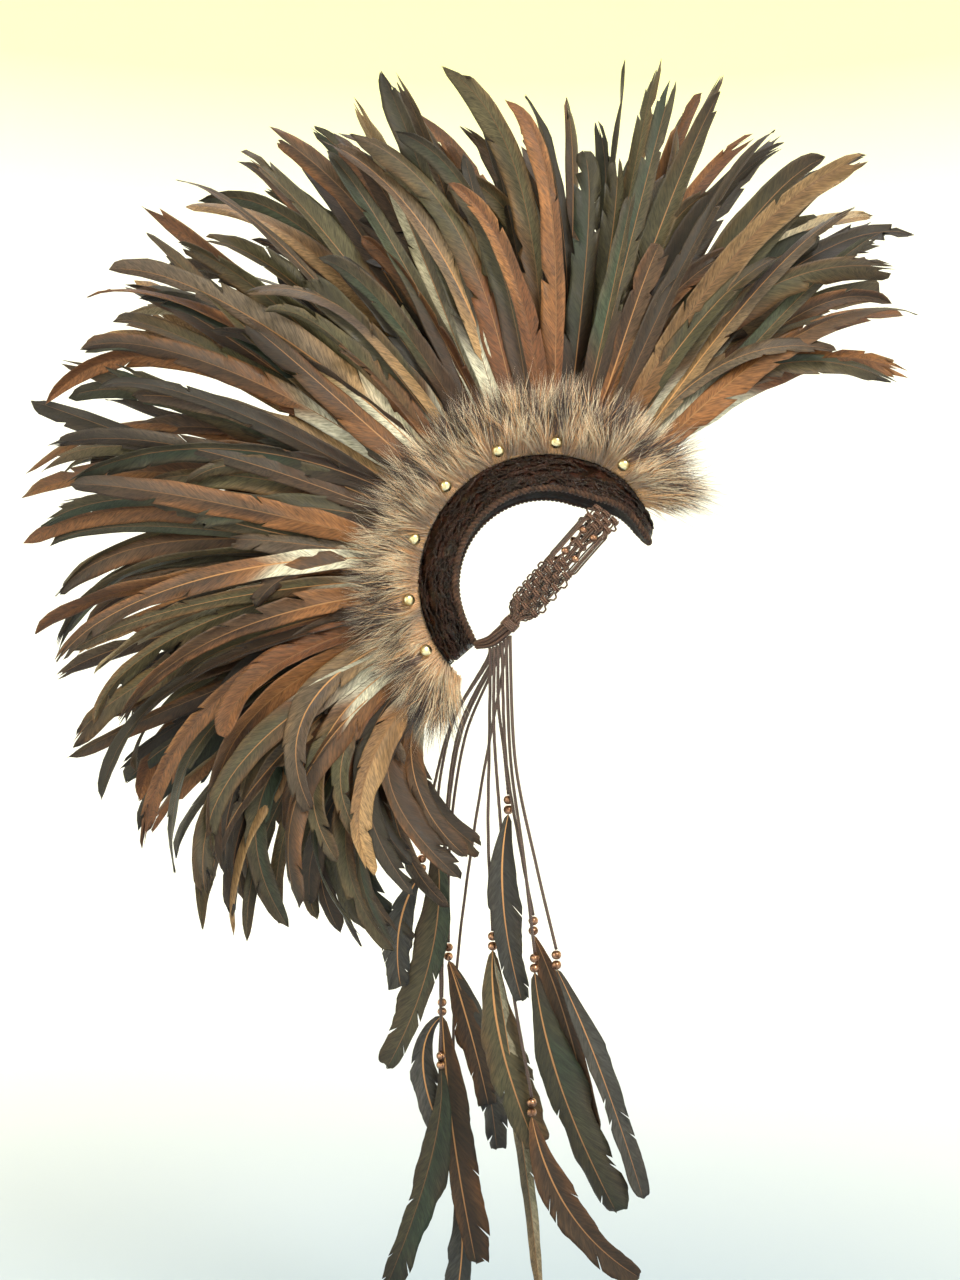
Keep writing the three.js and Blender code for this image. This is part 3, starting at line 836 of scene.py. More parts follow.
# Base, one vane, the other vane, tip, edge, the shaft's paleness and the share of all feathers.
PLUMAGES = (
    Plumage(RUST, OLIVE, MOSS, BARK, srgb(122, 88, 54), 0.55, 0.22),
    Plumage(BARK, TEAL, OLIVE, SOOT, srgb(84, 66, 48), 0.4, 0.19),
    Plumage(GINGER, BARK, srgb(90, 66, 48), SOOT, srgb(150, 98, 58), 0.6, 0.18),
    Plumage(TAN, MAUVE, srgb(104, 88, 72), BARK, srgb(138, 108, 78), 0.7, 0.15),
    Plumage(RUST, GINGER, srgb(112, 72, 44), RUST, srgb(176, 122, 74), 0.3, 0.06),
    Plumage(GINGER, TAN, srgb(140, 104, 70), TAN, srgb(190, 154, 110), 0.3, 0.03),
    Plumage(CREAM, srgb(206, 196, 168), srgb(96, 84, 64), TAN, srgb(196, 176, 140), 0.5, 0.02),
    Plumage(BARK, SOOT, srgb(58, 48, 40), SOOT, srgb(80, 60, 44), 0.3, 0.15),
    Plumage(BARK, srgb(78, 76, 74), srgb(92, 90, 88), srgb(62, 56, 54), srgb(104, 94, 88), 0.8, 0.0),
)


class FeatherMaker:
    """Shapes feathers on smooth curves and adds them to a heap."""

    SPREAD = (-1, -0.8, -0.5, -0.12, 0, 0.12, 0.5, 0.8, 1)
    SHAFT, VANE, RIPPLE = 0.00075, 0.0002, 0.0012

    def __init__(self, stations: int = 30, seed: int = 7) -> None:
        """Makes the mould.

        Args:
            stations: Steps along a feather.
            seed: Starts the random draws.
        """
        columns = len(self.SPREAD) - 1
        self.stations = stations
        self.mould = blade_mould(stations, columns)
        self.rng = np.random.default_rng(seed)
        self.u = self.mould.points[:, 0]
        self.row = self.mould.row(stations)
        self.v = np.interp(self.mould.points[:, 1], np.linspace(-1, 1, columns + 1), self.SPREAD)
        self.face = self.mould.points[:, 2]
        self.shares = np.array([p.share for p in PLUMAGES])

    def pick(self, ginger: float = 1.0) -> Plumage:
        """Draws a colouring.

        Args:
            ginger: How much commoner than usual the warm colourings are.

        Returns:
            The colouring.
        """
        shares = self.shares * np.array([1, 1, 1, 1, ginger, ginger, ginger, 1, 1])
        return PLUMAGES[self.rng.choice(len(PLUMAGES), p=shares / shares.sum())]

    def half_width(self, width: float, torn: bool) -> np.ndarray:
        """The distance from the shaft to the vane's edge.

        Args:
            width: The feather's greatest width.
            torn: Whether its tip is ragged.

        Returns:
            The distance for each point of the mould.
        """
        rng, u, side = self.rng, self.u, np.sign(self.v)
        root = 0.24 + 0.76 * rise(u, 0, 0.26) ** 0.9
        taper = 1 - rng.uniform(0.16, 0.4) * rise(u, 0.38, 0.9)
        start = rng.uniform(0.76, 0.88)
        tip = np.clip((1 - u) / (1 - start), 0, 1)
        end = np.where(u < start, 1, (1 - (1 - tip) ** 2) ** rng.uniform(0.5, 0.85))
        left_over = rng.uniform(0.2, 0.5) if torn else 0.03
        end = left_over + (1 - left_over) * end
        phase = rng.uniform(0, 6, 2)
        uneven = 1 + 0.07 * np.sin(u * rng.uniform(8, 15) + phase[0] * side)
        uneven += 0.05 * np.sin(u * rng.uniform(20, 34) + phase[1] * side)
        return 0.5 * width * root * taper * end * uneven * (1 + rng.uniform(-0.3, 0.3) * side)

    def parted(self, splits: int) -> tuple[np.ndarray, np.ndarray]:
        """The vane's ragged edge and the slits where its barbs part.

        Args:
            splits: How many slits it has.

        Returns:
            Each point's share of the vane's width, and how far it is drawn along the feather, in stations.
        """
        rng, u = self.rng, self.u
        side, reach = np.sign(self.v), np.abs(self.v)
        rows = np.arange(self.stations + 1)
        rough = np.interp(u * self.stations + 0.4 * side, rows, rng.uniform(-1, 1, len(rows)))
        edge = 1 + 0.05 * rough * reach**2
        drawn = np.zeros(len(u))
        for _ in range(splits):
            at, which = rng.integers(self.stations // 5, self.stations - 1), rng.choice((-1, 1))
            deep, gap = rng.uniform(0.25, 0.75), rng.uniform(0.45, 0.85)
            edge -= np.where((self.row == at) & (side == which), deep * reach**2, 0)
            drawn += np.where((self.row == at - 1) & (side == which), gap * reach, 0)
            drawn -= np.where((self.row == at + 1) & (side == which), gap * reach, 0)
        return np.clip(edge, 0.2, 1.1), np.clip(drawn, -0.9, 0.9)

    def add(self, heap: Heap, curve: np.ndarray, flat: Sequence[float], width: float, plumage: Plumage,
            twist: tuple[float, float] = (0.0, 0.0), splits: int = 3, down: float = 0.22,
            torn: bool = False, downy: bool = False, shade: float = 1.0) -> None:
        """Adds a feather.

        Args:
            heap: Where it goes.
            curve: Evenly spaced points along its shaft.
            flat: The way that its flat side faces.
            width: Its greatest width.
            plumage: Its colouring.
            twist: How far it is turned about its shaft at the root and the tip, in radians.
            splits: How many slits its vanes have.
            down: How much of its length has the base's colour.
            torn: Whether its tip is forked and ragged.
            downy: Whether its base is cream.
            shade: How much darker or paler than its colouring it is.
        """
        rng, u, v, face = self.rng, self.u, self.v, self.face
        length = distances(curve)[-1]
        reach = np.abs(v)
        half = self.half_width(width, torn)
        edge, drawn = self.parted(splits)
        out = v * half * edge
        fade = 1.0 if torn else np.clip((1.01 - u) / 0.06, 0, 1)
        slant = 1.5 * np.abs(out) / length * fade
        ends = rng.uniform(0, 0.07 if torn else 0.012, len(self.SPREAD))
        back = np.interp(v, self.SPREAD, ends) * rise(u, 0.75, 1) ** 2
        s = np.clip(u * (0.96 if torn else 1.0) + slant - back + drawn / self.stations, 0, 1)
        far = s * (len(curve) - 1)
        low = np.clip(far.astype(int), 0, len(curve) - 2)
        part = (far - low)[:, None]
        tangent = unit(np.gradient(curve, axis=0))
        centre = curve[low] * (1 - part) + curve[low + 1] * part
        way = unit(tangent[low] * (1 - part) + tangent[low + 1] * part)
        face_way = np.asarray(flat, float)
        normal = unit(face_way - way * (way @ face_way)[:, None])
        across = np.cross(way, normal)
        turn = twist[0] + (twist[1] - twist[0]) * u
        turned = across * np.cos(turn)[:, None] + normal * np.sin(turn)[:, None]
        up = normal * np.cos(turn)[:, None] - across * np.sin(turn)[:, None]
        cup = rng.uniform(0.08, 0.4) * rng.choice((-1, 1))
        ripple = rng.uniform(0.2, 1.0) * self.RIPPLE
        wave = ripple * np.sin(u * rng.uniform(14, 44) + rng.uniform(0, 6) + 2 * np.sign(v))
        lift = -cup * half * reach**1.6 + wave * reach
        shaft = np.clip(1.1 - u, 0.15, 1) * self.SHAFT
        thick = np.where(reach < 0.03, shaft, self.VANE * (1 - 0.4 * reach))
        points = centre + turned * out[:, None] + up * (lift + face * thick)[:, None]
        place = np.stack([u * length + rng.uniform(0, 3), v], 1)
        tints = self.tints(plumage, down, downy) * (shade, shade, shade, 1)
        heap.add(self.mould, points, tints, place)

    def patches(self, knots: int, low: float, high: float) -> np.ndarray:
        """Smooth random values along the feather, its own for each vane.

        Args:
            knots: How many values are drawn along it.
            low: The least value.
            high: The greatest value.

        Returns:
            The value at each point.
        """
        at = np.linspace(0, 1, knots)
        one, two = (np.interp(self.u, at, self.rng.uniform(low, high, knots)) for _ in range(2))
        return np.where(self.v > 0, one, two)

    def tints(self, plumage: Plumage, down: float, downy: bool) -> np.ndarray:
        """The colour at each point of a feather, with the shaft's paleness as its fourth value.

        Args:
            plumage: Its colouring.
            down: How much of its length has the base's colour.
            downy: Whether its base is cream.

        Returns:
            Four values for each point.
        """
        rng, u, v = self.rng, self.u, self.v
        reach = np.abs(v)
        vane = np.where((v > 0)[:, None], plumage.vane, plumage.other)
        shifted = down + 0.12 * self.patches(5, -1, 1)
        mixes = (
            (plumage.other, np.clip(self.patches(7, -0.6, 0.9), 0, 1)),
            (plumage.edge, rise(reach, 0.35, 0.9) * np.clip(self.patches(6, -0.5, 1.1), 0, 1)),
            (plumage.tip, rise(u, 0.7, 0.98) * rng.uniform(0.2, 0.95)),
            (plumage.base, rise(-u, -0.1 - shifted, 0.1 - shifted)),
            (CREAM, rise(-u, -0.05 - 0.72 * shifted, 0.05 - 0.72 * shifted) * (0.95 if downy else 0.0)),
        )
        colour = vane
        for goal, share in mixes:
            colour = colour * (1 - share[:, None]) + np.array(goal) * share[:, None]
        barbs = rng.uniform(0.72, 1.16, (2, self.stations + 1))
        tone = np.where(v > 0, barbs[0][self.row], barbs[1][self.row])
        tone = 1 + (tone - 1) * rise(reach, 0, 0.4)
        colour = colour * (tone * rng.uniform(0.55, 1.15))[:, None]
        shaft = plumage.shaft * rng.uniform(0.4, 1.4) * (1.1 - 0.75 * u)
        return np.hstack([colour, shaft[:, None]])


def bezier(points: Sequence[np.ndarray], count: int) -> np.ndarray:
    """Evenly spaced points along a cubic curve.

    Args:
        points: Its four control points.
        count: How many points to give.

    Returns:
        The points, one in each row.
    """
    t = np.linspace(0, 1, 60)[:, None]
    a, b, c, d = points
    line = (1 - t) ** 3 * a + 3 * (1 - t) ** 2 * t * b + 3 * (1 - t) * t**2 * c + t**3 * d
    return respaced(line, count)


@dataclass
class Crest:
    """The fan of long tail feathers, five sectors from front to nape."""

    rows: int = 8
    in_row: int = 34
    fillers: int = 52
    nape: int = 14
    spread: float = 0.0135
    lean: float = 0.05
    side_limit: float = 0.1
    foot_gap: float = 0.004
    long_reach: tuple[float, float] = (0.94, 1.045)
    short_reach: tuple[float, float] = (0.7, 0.96)
    filler_reach: tuple[float, float] = (0.5, 0.68)
    torn_share: float = 0.35
    bar_radius: float = 0.0044
    bar_height: float = 0.0052

    def build(self, finish: bpy.types.Material) -> list[bpy.types.Object]:
        """Makes the sectors.

        Args:
            finish: The feather material.

        Returns:
            The sectors' objects, from the front.
        """
        maker = FeatherMaker()
        heaps = [Heap() for _ in range(SECTORS)]
        span = (CREST_TO - CREST_FROM) / SECTORS
        rng = maker.rng
        half_rows = (self.rows - 1) / 2
        step = (CREST_TO - CREST_FROM - 3) / (self.in_row - 1)
        roots = []
        for row in range(self.rows):
            for i in range(self.in_row):
                at = CREST_FROM + 1.5 + step * (i + 0.5 * (row % 2) + rng.uniform(-0.45, 0.45))
                roots.append((at, (row - half_rows) / half_rows, False))
        for count, low, high, short in (
            (self.fillers, CREST_FROM + 6, CREST_TO - 12, True),
            (self.nape, CREST_TO - 16, CREST_TO, False),
        ):
            roots += [(rng.uniform(low, high), rng.uniform(-1, 1), short) for _ in range(count)]
        for root, place, short in roots:
            root = float(np.clip(root, CREST_FROM + 1, CREST_TO - 1))
            sector = min(int((root - CREST_FROM) / span), SECTORS - 1)
            self.plume(maker, heaps[sector], root, place, short)
        made = []
        for i, heap in enumerate(heaps):
            self.quill_bar(heap, i, span)
            made.append(heap.made(f"crest_fan_{i + 1}", f"crest_{i + 1}", "tail_feather", finish))
        return made

    def plume(self, maker: FeatherMaker, heap: Heap, root: float, place: float, short: bool) -> None:
        """Adds one feather.

        Args:
            maker: Shapes it.
            heap: Its sector.
            root: Its root's angle.
            place: Its place across the crest, -1 to 1.
            short: Whether it is one of the short ones that fill the fan's foot.
        """
        rng = maker.rng
        bend = float(along(BEND_TABLE, "bend", root)) * rng.uniform(0.35, 1.25) + rng.normal(0, 3.8)
        share = rng.choice((rng.uniform(*self.long_reach), rng.uniform(*self.short_reach)), p=(0.5, 0.5))
        if short:
            share = rng.uniform(*self.filler_reach)
        share -= 0.05 * abs(place)
        reach = CREST_REACH * float(along(REACH_TABLE, "reach", root + bend)) * share
        foot = float(saddle_top(root)) + self.foot_gap
        climb = reach - foot
        x = place * self.spread
        out = place * self.lean * rng.uniform(0.75, 1.2) * (0.6 if short else 1.0) + rng.normal(0, 0.006)
        curl = rng.uniform(-0.012, 0.012)
        hook = rng.choice((rng.uniform(0.0, 0.35), rng.uniform(0.3, 0.6)), p=(0.6, 0.4))
        curve = bezier(
            (
                polar(root, foot, x),
                polar(root + rng.normal(0, 1.5), foot + 0.4 * climb, x + 0.3 * out),
                polar(root + hook * bend, foot + rng.uniform(0.8, 0.95) * climb, x + 0.75 * out + curl),
                polar(root + bend, reach, x + out),
            ),
            24,
        )
        curve[:, 0] = self.side_limit * np.tanh(curve[:, 0] / self.side_limit)
        facing = unit(np.array([1.0, 0, 0]) + 0.24 * rng.normal(0, 1, 3))
        warm = 2.0 if 140 < root < 200 else 1.0
        plumage = PLUMAGES[rng.choice((2, 0, 3, 7))] if short else maker.pick(warm)
        width = PLUME_WIDTH * rng.uniform(0.62, 1.0)
        maker.add(heap, curve, facing, width, plumage, (rng.normal(0, 0.3), rng.normal(0, 0.7)),
                  splits=int(rng.integers(1, 9)), down=rng.uniform(0.24, 0.56),
                  torn=rng.random() < self.torn_share,
                  downy=rng.random() < (0.6 if short else 0.36), shade=0.7 if root > 188 else 0.82)

    def quill_bar(self, heap: Heap, sector: int, span: float) -> None:
        """Adds the bar that the quills are bound into.

        Args:
            heap: Where it goes.
            sector: The sector, from 0 at the front.
            span: A sector's width in degrees.
        """
        mould = tube_mould(24, 8)
        angles = np.linspace(CREST_FROM + span * sector + 0.3, CREST_FROM + span * (sector + 1) - 0.3, 25)
        line = polar(angles, saddle_top(angles) + self.bar_height, 0.0)
        bar(heap, mould, line, self.bar_radius, 0.06)


@dataclass
class Fur:
    """Deep fur on one side's hide strip."""

    side: Side
    hairs: int = 11800
    length: float = 0.047
    tufts: int = 620
    side_limit: float = 0.094
    free_side: float = 0.062
    hair_radius: tuple[float, float] = (0.0003, 0.00062)
    hair_length: tuple[float, float] = (0.018, 0.07)
    hide_steps: int = 120

    def surface(self, angle: np.ndarray, height: np.ndarray) -> tuple[np.ndarray, np.ndarray, np.ndarray]:
        """The hide's outer face.

        Args:
            angle: Degrees round the crest.
            height: Metres over the hide's foot.

        Returns:
            The points, the radial way and the way that the hide faces.
        """
        sign = self.side.value
        foot = hide_foot(angle) + 0.0009
        x = RIDGE_HALF_WIDTH + HIDE_LEAN * height / HIDE_HEIGHT
        points = polar(angle, foot + height, sign * x)
        a = np.radians(angle)
        radial = np.stack([np.zeros_like(a), -np.cos(a), np.sin(a)], 1)
        lean = math.atan2(HIDE_LEAN, HIDE_HEIGHT)
        normal = -radial * math.sin(lean)
        normal[:, 0] = sign * math.cos(lean)
        return points, radial, normal

    def build(self, finish: bpy.types.Material) -> bpy.types.Object:
        """Makes the side's fur.

        Args:
            finish: The hair material.

        Returns:
            The object.
        """
        rng = np.random.default_rng(11 + self.side.value)
        heap = Heap()
        self.hide(heap)
        self.coat(heap, rng)
        return heap.made(f"fur_{self.side.word}_hair", f"fur_{self.side.word}", "fur", finish)

    def hide(self, heap: Heap) -> None:
        """Adds the hide that the hairs grow from, as one closed body.

        Args:
            heap: Where it goes.
        """
        sign = self.side.value
        mould = tube_mould(self.hide_steps, 12)
        step, turn = mould.row(self.hide_steps), mould.turn()
        angle = HIDE_FROM + 1.5 + (HIDE_TO - HIDE_FROM - 4) * step / self.hide_steps
        foot = hide_foot(angle) + 0.001
        rounding = np.sqrt(1 - rise(np.abs(step / self.hide_steps - 0.5), 0.46, 0.501) ** 2)
        height = 0.5 * HIDE_HEIGHT * (1 + 0.98 * np.sin(turn) * rounding)
        x = RIDGE_HALF_WIDTH + HIDE_LEAN * height / HIDE_HEIGHT - 0.002 + 0.002 * np.cos(turn)
        dark = (np.sin(turn) > 0.5) | (angle > 214)
        tint = np.where(dark[:, None], srgb(96, 64, 48), srgb(196, 154, 112))
        heap.add(mould, polar(angle, foot + height, sign * x), tint, np.stack([angle, turn], 1))

    def coat(self, heap: Heap, rng: np.random.Generator) -> None:
        """Adds the hairs.

        Args:
            heap: Where they go.
            rng: The random draws.
        """
        n, sign = self.hairs, self.side.value
        angle = rng.uniform(HIDE_FROM - 1.5, HIDE_TO + 1.5, n)
        height = HIDE_HEIGHT * rng.beta(1.0, 1.0, n)
        inner = rng.random(n) < 0.14
        height = np.where(inner, HIDE_HEIGHT, height)
        root, radial, normal = self.surface(angle, height)
        root -= normal * rng.uniform(0.0002, 0.002, n)[:, None]
        root[inner] -= np.array([sign * 1.0, 0, 0]) * rng.uniform(0, 0.017, inner.sum())[:, None]
        way_back = np.cross(radial, np.array([1.0, 0, 0]))
        share = height / HIDE_HEIGHT
        tuft, tuft_two, tuft_three = (
            np.array([noise.noise(Vector(p) * scale + Vector((shift, 3, 1))) for p in root])
            for scale, shift in ((95, 0), (80, 7), (42, 4))
        )
        outward = np.where(inner, rng.uniform(-0.25, 0.15, n), 0.78 - 0.56 * share)
        outward += 0.14 * rng.normal(0, 1, n) + 0.5 * tuft
        ahead = rise(-angle, -62, -40) - rise(angle, 208, 234)
        sweep = -ahead * rng.uniform(0.35, 1.8, n) + 0.62 * tuft_two + 0.11 * rng.normal(0, 1, n)
        near_stud = self.near_stud(angle, height)
        outward = np.where(near_stud, 0.38, outward)
        direction = unit(radial + normal * outward[:, None] + way_back * sweep[:, None])
        length = self.length * (1 + 0.4 * tuft_three + 0.13 * rng.normal(0, 1, n))
        length *= np.where(rng.random(n) < 0.07, 1.25, 1.0) * (0.8 + 0.25 * share)
        length *= 1 + 0.2 * np.abs(ahead)
        length *= 1 + 0.4 * np.clip(ahead, 0, 1) * rng.uniform(-1, 1, n)
        droop = normal * np.where(near_stud, 0, rng.normal(0.1, 0.1, n))[:, None]
        droop = droop + way_back * (rng.normal(0, 0.1, n) + 0.3 * tuft)[:, None]
        length = np.clip(length, *self.hair_length)
        tips = root + direction * length[:, None]
        chief = rng.choice(n, self.tufts, replace=False)
        near = np.array([np.argmin(np.sum((root[chief] - p) ** 2, axis=1)) for p in root])
        pull = (tips[chief[near]] - tips) * rng.uniform(0.1, 0.75, n)[:, None]
        pull[near_stud] = 0
        shade = rng.normal(0, 1, self.tufts)[near] + 1.8 * tuft_three
        self.grow(heap, rng, root, direction, length, droop * length[:, None] + pull, shade, share)

    def near_stud(self, angle: np.ndarray, height: np.ndarray) -> np.ndarray:
        """Whether a hair is rooted beside a stud or just below one, where it lies flat.

        Args:
            angle: Degrees round the crest.
            height: Metres over the hide's foot.

        Returns:
            True for each hair that is.
        """
        gap = np.abs(angle[:, None] - np.array(STUD_ANGLES)).min(axis=1)
        beside = np.radians(gap) * (CROWN_RADIUS + SADDLE_RISE + 0.012)
        return (beside < 0.0064) & (height < 0.0135)

    def grow(self, heap: Heap, rng: np.random.Generator, root: np.ndarray, direction: np.ndarray,
             length: np.ndarray, droop: np.ndarray, patch: np.ndarray, share: np.ndarray) -> None:
        """Adds a spike for each hair.

        Args:
            heap: Where they go.
            rng: The random draws.
            root: Where each is rooted.
            direction: The way that each grows.
            length: Each one's length.
            droop: How far each one's tip is turned from its straight way.
            patch: How dark each one's tuft is, about -2 to 2.
            share: How high on the hide each is rooted, 0 to 1.
        """
        mould = spike_mould()
        n, m = len(root), len(mould.points)
        x, y, z = mould.points.T
        across = unit(np.cross(direction, rng.normal(0, 1, (n, 3))))
        third = np.cross(direction, across)
        size = rng.uniform(*self.hair_radius, n)[:, None] * np.interp(x, (0, 0.5, 1), (0.9, 0.85, 0.0))
        points = root[:, None] + direction[:, None] * (length[:, None] * x)[..., None]
        points = points + droop[:, None] * (x**2)[None, :, None]
        points += across[:, None] * (size * y)[..., None] + third[:, None] * (size * z)[..., None]
        inside, far = self.free_side, np.abs(points[..., 0])
        room = self.side_limit - inside
        held = np.where(far > inside, inside + room * np.tanh((far - inside) / room), far)
        points[..., 0] = np.sign(points[..., 0]) * held
        stops = self.colours(rng, patch, share)
        tint = stops[:, np.clip(np.rint(x * 2).astype(int), 0, 2)]
        loops = (mould.loops[None] + (np.arange(n) * m)[:, None]).ravel()
        whole = Mould(points.reshape(-1, 3), loops.astype(np.int32), np.tile(mould.sizes, n))
        place = np.tile(np.stack([x, y], 1), (n, 1))
        heap.add(whole, whole.points, tint.reshape(-1, 3), place)

    @staticmethod
    def colours(rng: np.random.Generator, patch: np.ndarray, share: np.ndarray) -> np.ndarray:
        """Each hair's colour at its root, middle and tip.

        Args:
            rng: The random draws.
            patch: How dark each one's tuft is.
            share: How high on the hide each is rooted.

        Returns:
            Three colours for each hair.
        """
        n = len(patch)
        gold, pale = np.array(srgb(250, 196, 142)), np.array(srgb(255, 236, 206))
        brown, tan = np.array(srgb(42, 21, 24)), np.array(srgb(146, 98, 74))
        dark = rng.random(n) < np.clip(0.24 + 0.46 * share + 0.5 * patch, 0.02, 0.98)
        light = rng.random(n) < 0.66
        tip = np.where(dark[:, None], brown, np.where(light[:, None], pale, tan))
        dark_middle = dark & (rng.random(n) < 0.2 + 1.2 * share)
        middle = np.where(dark_middle[:, None], brown * 1.6, np.where(light[:, None], pale * 0.88, gold))
        base = np.where((dark_middle & (share > 0.5))[:, None], tan, gold)
        tone = rng.uniform(0.82, 1.12, n) * np.clip(1 - 0.09 * patch, 0.65, 1.2)
        return np.stack([base, middle, tip], 1) * tone[:, None, None]


@dataclass
class Saddle:
    """The padded saddle with its wrinkled skin, and the rope-like rim."""

    steps: int = 230
    round_steps: int = 56
    strand_count: int = 460
    strand_steps: int = 24
    strand_radius: tuple[float, float] = (0.0008, 0.0017)
    strand_lift: tuple[float, float] = (0.0007, 0.0022)
    wrinkle: float = 0.0012
    rope_radius: float = RIM_RADIUS * 1.3

    def section(self, angle: np.ndarray, turn: np.ndarray) -> tuple[np.ndarray, np.ndarray]:
        """A point of the section.

        Args:
            angle: Degrees round the crest.
            turn: 0 to 1 round the section, from the right edge over the top and back underneath.

        Returns:
            The place across, x, and the radius.
        """
        half = SADDLE_SIDE * along(SADDLE_TABLE, "width", angle)
        top = saddle_top(angle)
        ridge = np.minimum(RIDGE_HALF_WIDTH, 0.66 * half)
        out_x = half / HEAD_SIDE_RADIUS
        out_r = np.sqrt(1 - out_x**2)
        edge_x = half + SADDLE_WALL * out_x
        edge_r = head_radius(half) + SADDLE_WALL * out_r
        thin = (top - CROWN_RADIUS) / SADDLE_RISE
        over = np.clip(turn / TOP_SHARE, 0, 1)
        side = np.where(over < 0.5, -1.0, 1.0)
        flank = np.clip(np.minimum(over, 1 - over) / 0.36, 0, 1)
        bulge = 0.0028 * thin * np.sin(np.pi * flank)
        x = edge_x + (ridge - edge_x) * flank + bulge * out_r * 0.7
        r = edge_r + (top - edge_r) * flank + bulge * 0.6
        x = x * (1 - rise(np.minimum(over, 1 - over), 0.36, 0.5))
        seat = half * (1 - 2 * rise(turn, TOP_SHARE, 1.0))
        below = turn > TOP_SHARE
        return np.where(below, seat, side * x), np.where(below, head_radius(seat), r)

    @staticmethod
    def outward(points: np.ndarray, angle: np.ndarray) -> np.ndarray:
        """The way out of the saddle at each point."""
        return unit(points - polar(angle, CROWN_RADIUS - 0.02, 0.0))

    def build(self, finish: bpy.types.Material, rope: bpy.types.Material) -> list[bpy.types.Object]:
        """Makes the saddle in its finish, and its rim as a rope in another."""
        return [self.skin(finish), self.rim(rope)]

    def skin(self, finish: bpy.types.Material) -> bpy.types.Object:
        """Makes the padded body with its folds and the strands that lie along it.

        Args:
            finish: The hide's material.

        Returns:
            The object.
        """
        heap = Heap()
        mould = tube_mould(self.steps, self.round_steps)
        turn = (mould.turn() / (2 * np.pi)) % 1.0
        angle = SADDLE_FROM + (SADDLE_TO - SADDLE_FROM) * (mould.row(self.steps) / self.steps)
        x, r = self.section(angle, turn)
        rounding = 1 - 0.5 * rise(angle, SADDLE_TO - 4, SADDLE_TO) ** 2
        middle = head_radius(x) + 0.3 * SADDLE_RISE
        points = polar(angle, middle + (r - middle) * rounding, x * (0.5 + 0.5 * rounding))
        out = self.outward(points, angle)
        over = np.clip(np.minimum(turn, TOP_SHARE - turn) / 0.01, 0, 1)
        s = np.radians(angle) * 0.11
        fold = self.folds(s, turn)
        points += out * (over * self.wrinkle * (fold - 0.5))[:, None]
        # Painted shade: the underside, which lies against the head, is darkened to 0.45; on top the colour
        # follows the folds, with painted shade in their creases and a painted highlight on their ridges.
        under = turn > TOP_SHARE + 0.002
        shade = np.where(under, 0.45, np.clip(0.75 + 0.55 * fold, 0.25, 1.3))[:, None] * np.ones(3)
        shade = np.hstack([shade, np.where(under, 0.0, 1.0)[:, None]])
        heap.add(mould, points, shade, np.stack([s, turn * 0.13], 1))
        self.strands(heap)
        obj = heap.made("saddle_skin", "saddle", "saddle_hide", finish)
        return obj

    @staticmethod
    def folds(s: np.ndarray, turn: np.ndarray) -> np.ndarray:
        """The height of the wrinkles, which run mostly along the saddle.

        Args:
            s: Metres along it.
            turn: 0 to 1 round its section.

        Returns:
            The heights, about -1 to 1.
        """
        found = np.empty(len(s))
        for i, (a, t) in enumerate(zip(s, turn)):
            wander = noise.noise(Vector((a * 30, t * 9, 2)))
            p = Vector((a * 90 + wander, t * 60 + 2 * wander, 0))
            found[i] = 1 - 2.4 * abs(noise.noise(p)) - 1.4 * abs(noise.noise(p * 2.3))
        return found

    def strands(self, heap: Heap) -> None:
        """Adds the twisted strands that wander along the flanks.

        Args:
            heap: Where they go.
        """
        rng = np.random.default_rng(5)
        steps = self.strand_steps
        mould = tube_mould(steps, 5)
        along_strand = np.linspace(0, 1, steps + 1)
        for i in range(self.strand_count):
            base = rng.uniform(-0.01, 0.035) if i % 5 == 0 else rng.uniform(0.0, 0.258)
            start, span = rng.uniform(24, 212), rng.uniform(10, 30)
            angle = np.linspace(start, min(start + span, SADDLE_TO - 0.4), steps + 1)
            drift = np.array([noise.noise(Vector((a * 0.09, i * 3.7, 1))) for a in angle])
            wiggle = np.array([noise.noise(Vector((a * 0.7, i * 1.3, 5))) for a in angle])
            dive = np.array([noise.noise(Vector((a * 0.8, i * 2.9, 9))) for a in angle])
            turn = base + rng.normal(0, 0.02) * along_strand + 0.04 * drift + 0.013 * wiggle
            turn = np.clip(turn, 0.002, 0.268)
            turn = turn if i % 2 else TOP_SHARE - turn
            x, r = self.section(angle, turn)
            line = polar(angle, r, x)
            lift = self.strand_lift[0] + self.strand_lift[1] * dive[:, None]
            line = line + self.outward(line, angle) * lift
            ends = np.sin(np.pi * np.clip(along_strand, 0.04, 0.96)) ** 0.35
            radius = rng.uniform(*self.strand_radius) * ends
            bar(heap, mould, line, radius * (1 + 0.5 * wiggle), rng.uniform(0.5, 1.7))

    def rim(self, finish: bpy.types.Material) -> bpy.types.Object:
        """Makes the bound edge that follows the saddle's lower edge.

        Args:
            finish: The rope's material.

        Returns:
            The object.
        """
        side = np.r_[np.linspace(219, 62, 40), 58, 55, 52, 48, 44, 39, 34, 30, 27, 25, 23.4]
        half = SADDLE_SIDE * along(SADDLE_TABLE, "width", side)
        right = polar(side, head_radius(half), -half)
        left = (right * (-1, 1, 1))[::-1]
        edge = smooth_line(np.vstack([right, polar(22.5, CROWN_RADIUS, 0.0)[None], left]), 500)
        tangent = unit(np.gradient(edge, axis=0))
        radial = edge - np.array([0, 0, -CROWN_RADIUS])
        radial[:, 0] = 0
        centre = np.array([0, 0, -CROWN_RADIUS]) + unit(radial) * (CROWN_RADIUS - HEAD_SIDE_RADIUS)
        normal = unit(edge - centre)
        out = unit(np.cross(tangent, normal))
        line = respaced(edge + normal * (RIM_RADIUS * 1.45) + out * (RIM_RADIUS * 0.75), 1101)
        heap = Heap()
        # Laid as a rope, with painted shade in its grooves and a painted highlight on its crowns.
        bar(heap, tube_mould(1100, 9), line, self.rope_radius, 1.55, ridges=2, pitch=0.0085, groove=0.5)
        return heap.made("rim_rope", "rim", "saddle_hide", finish)


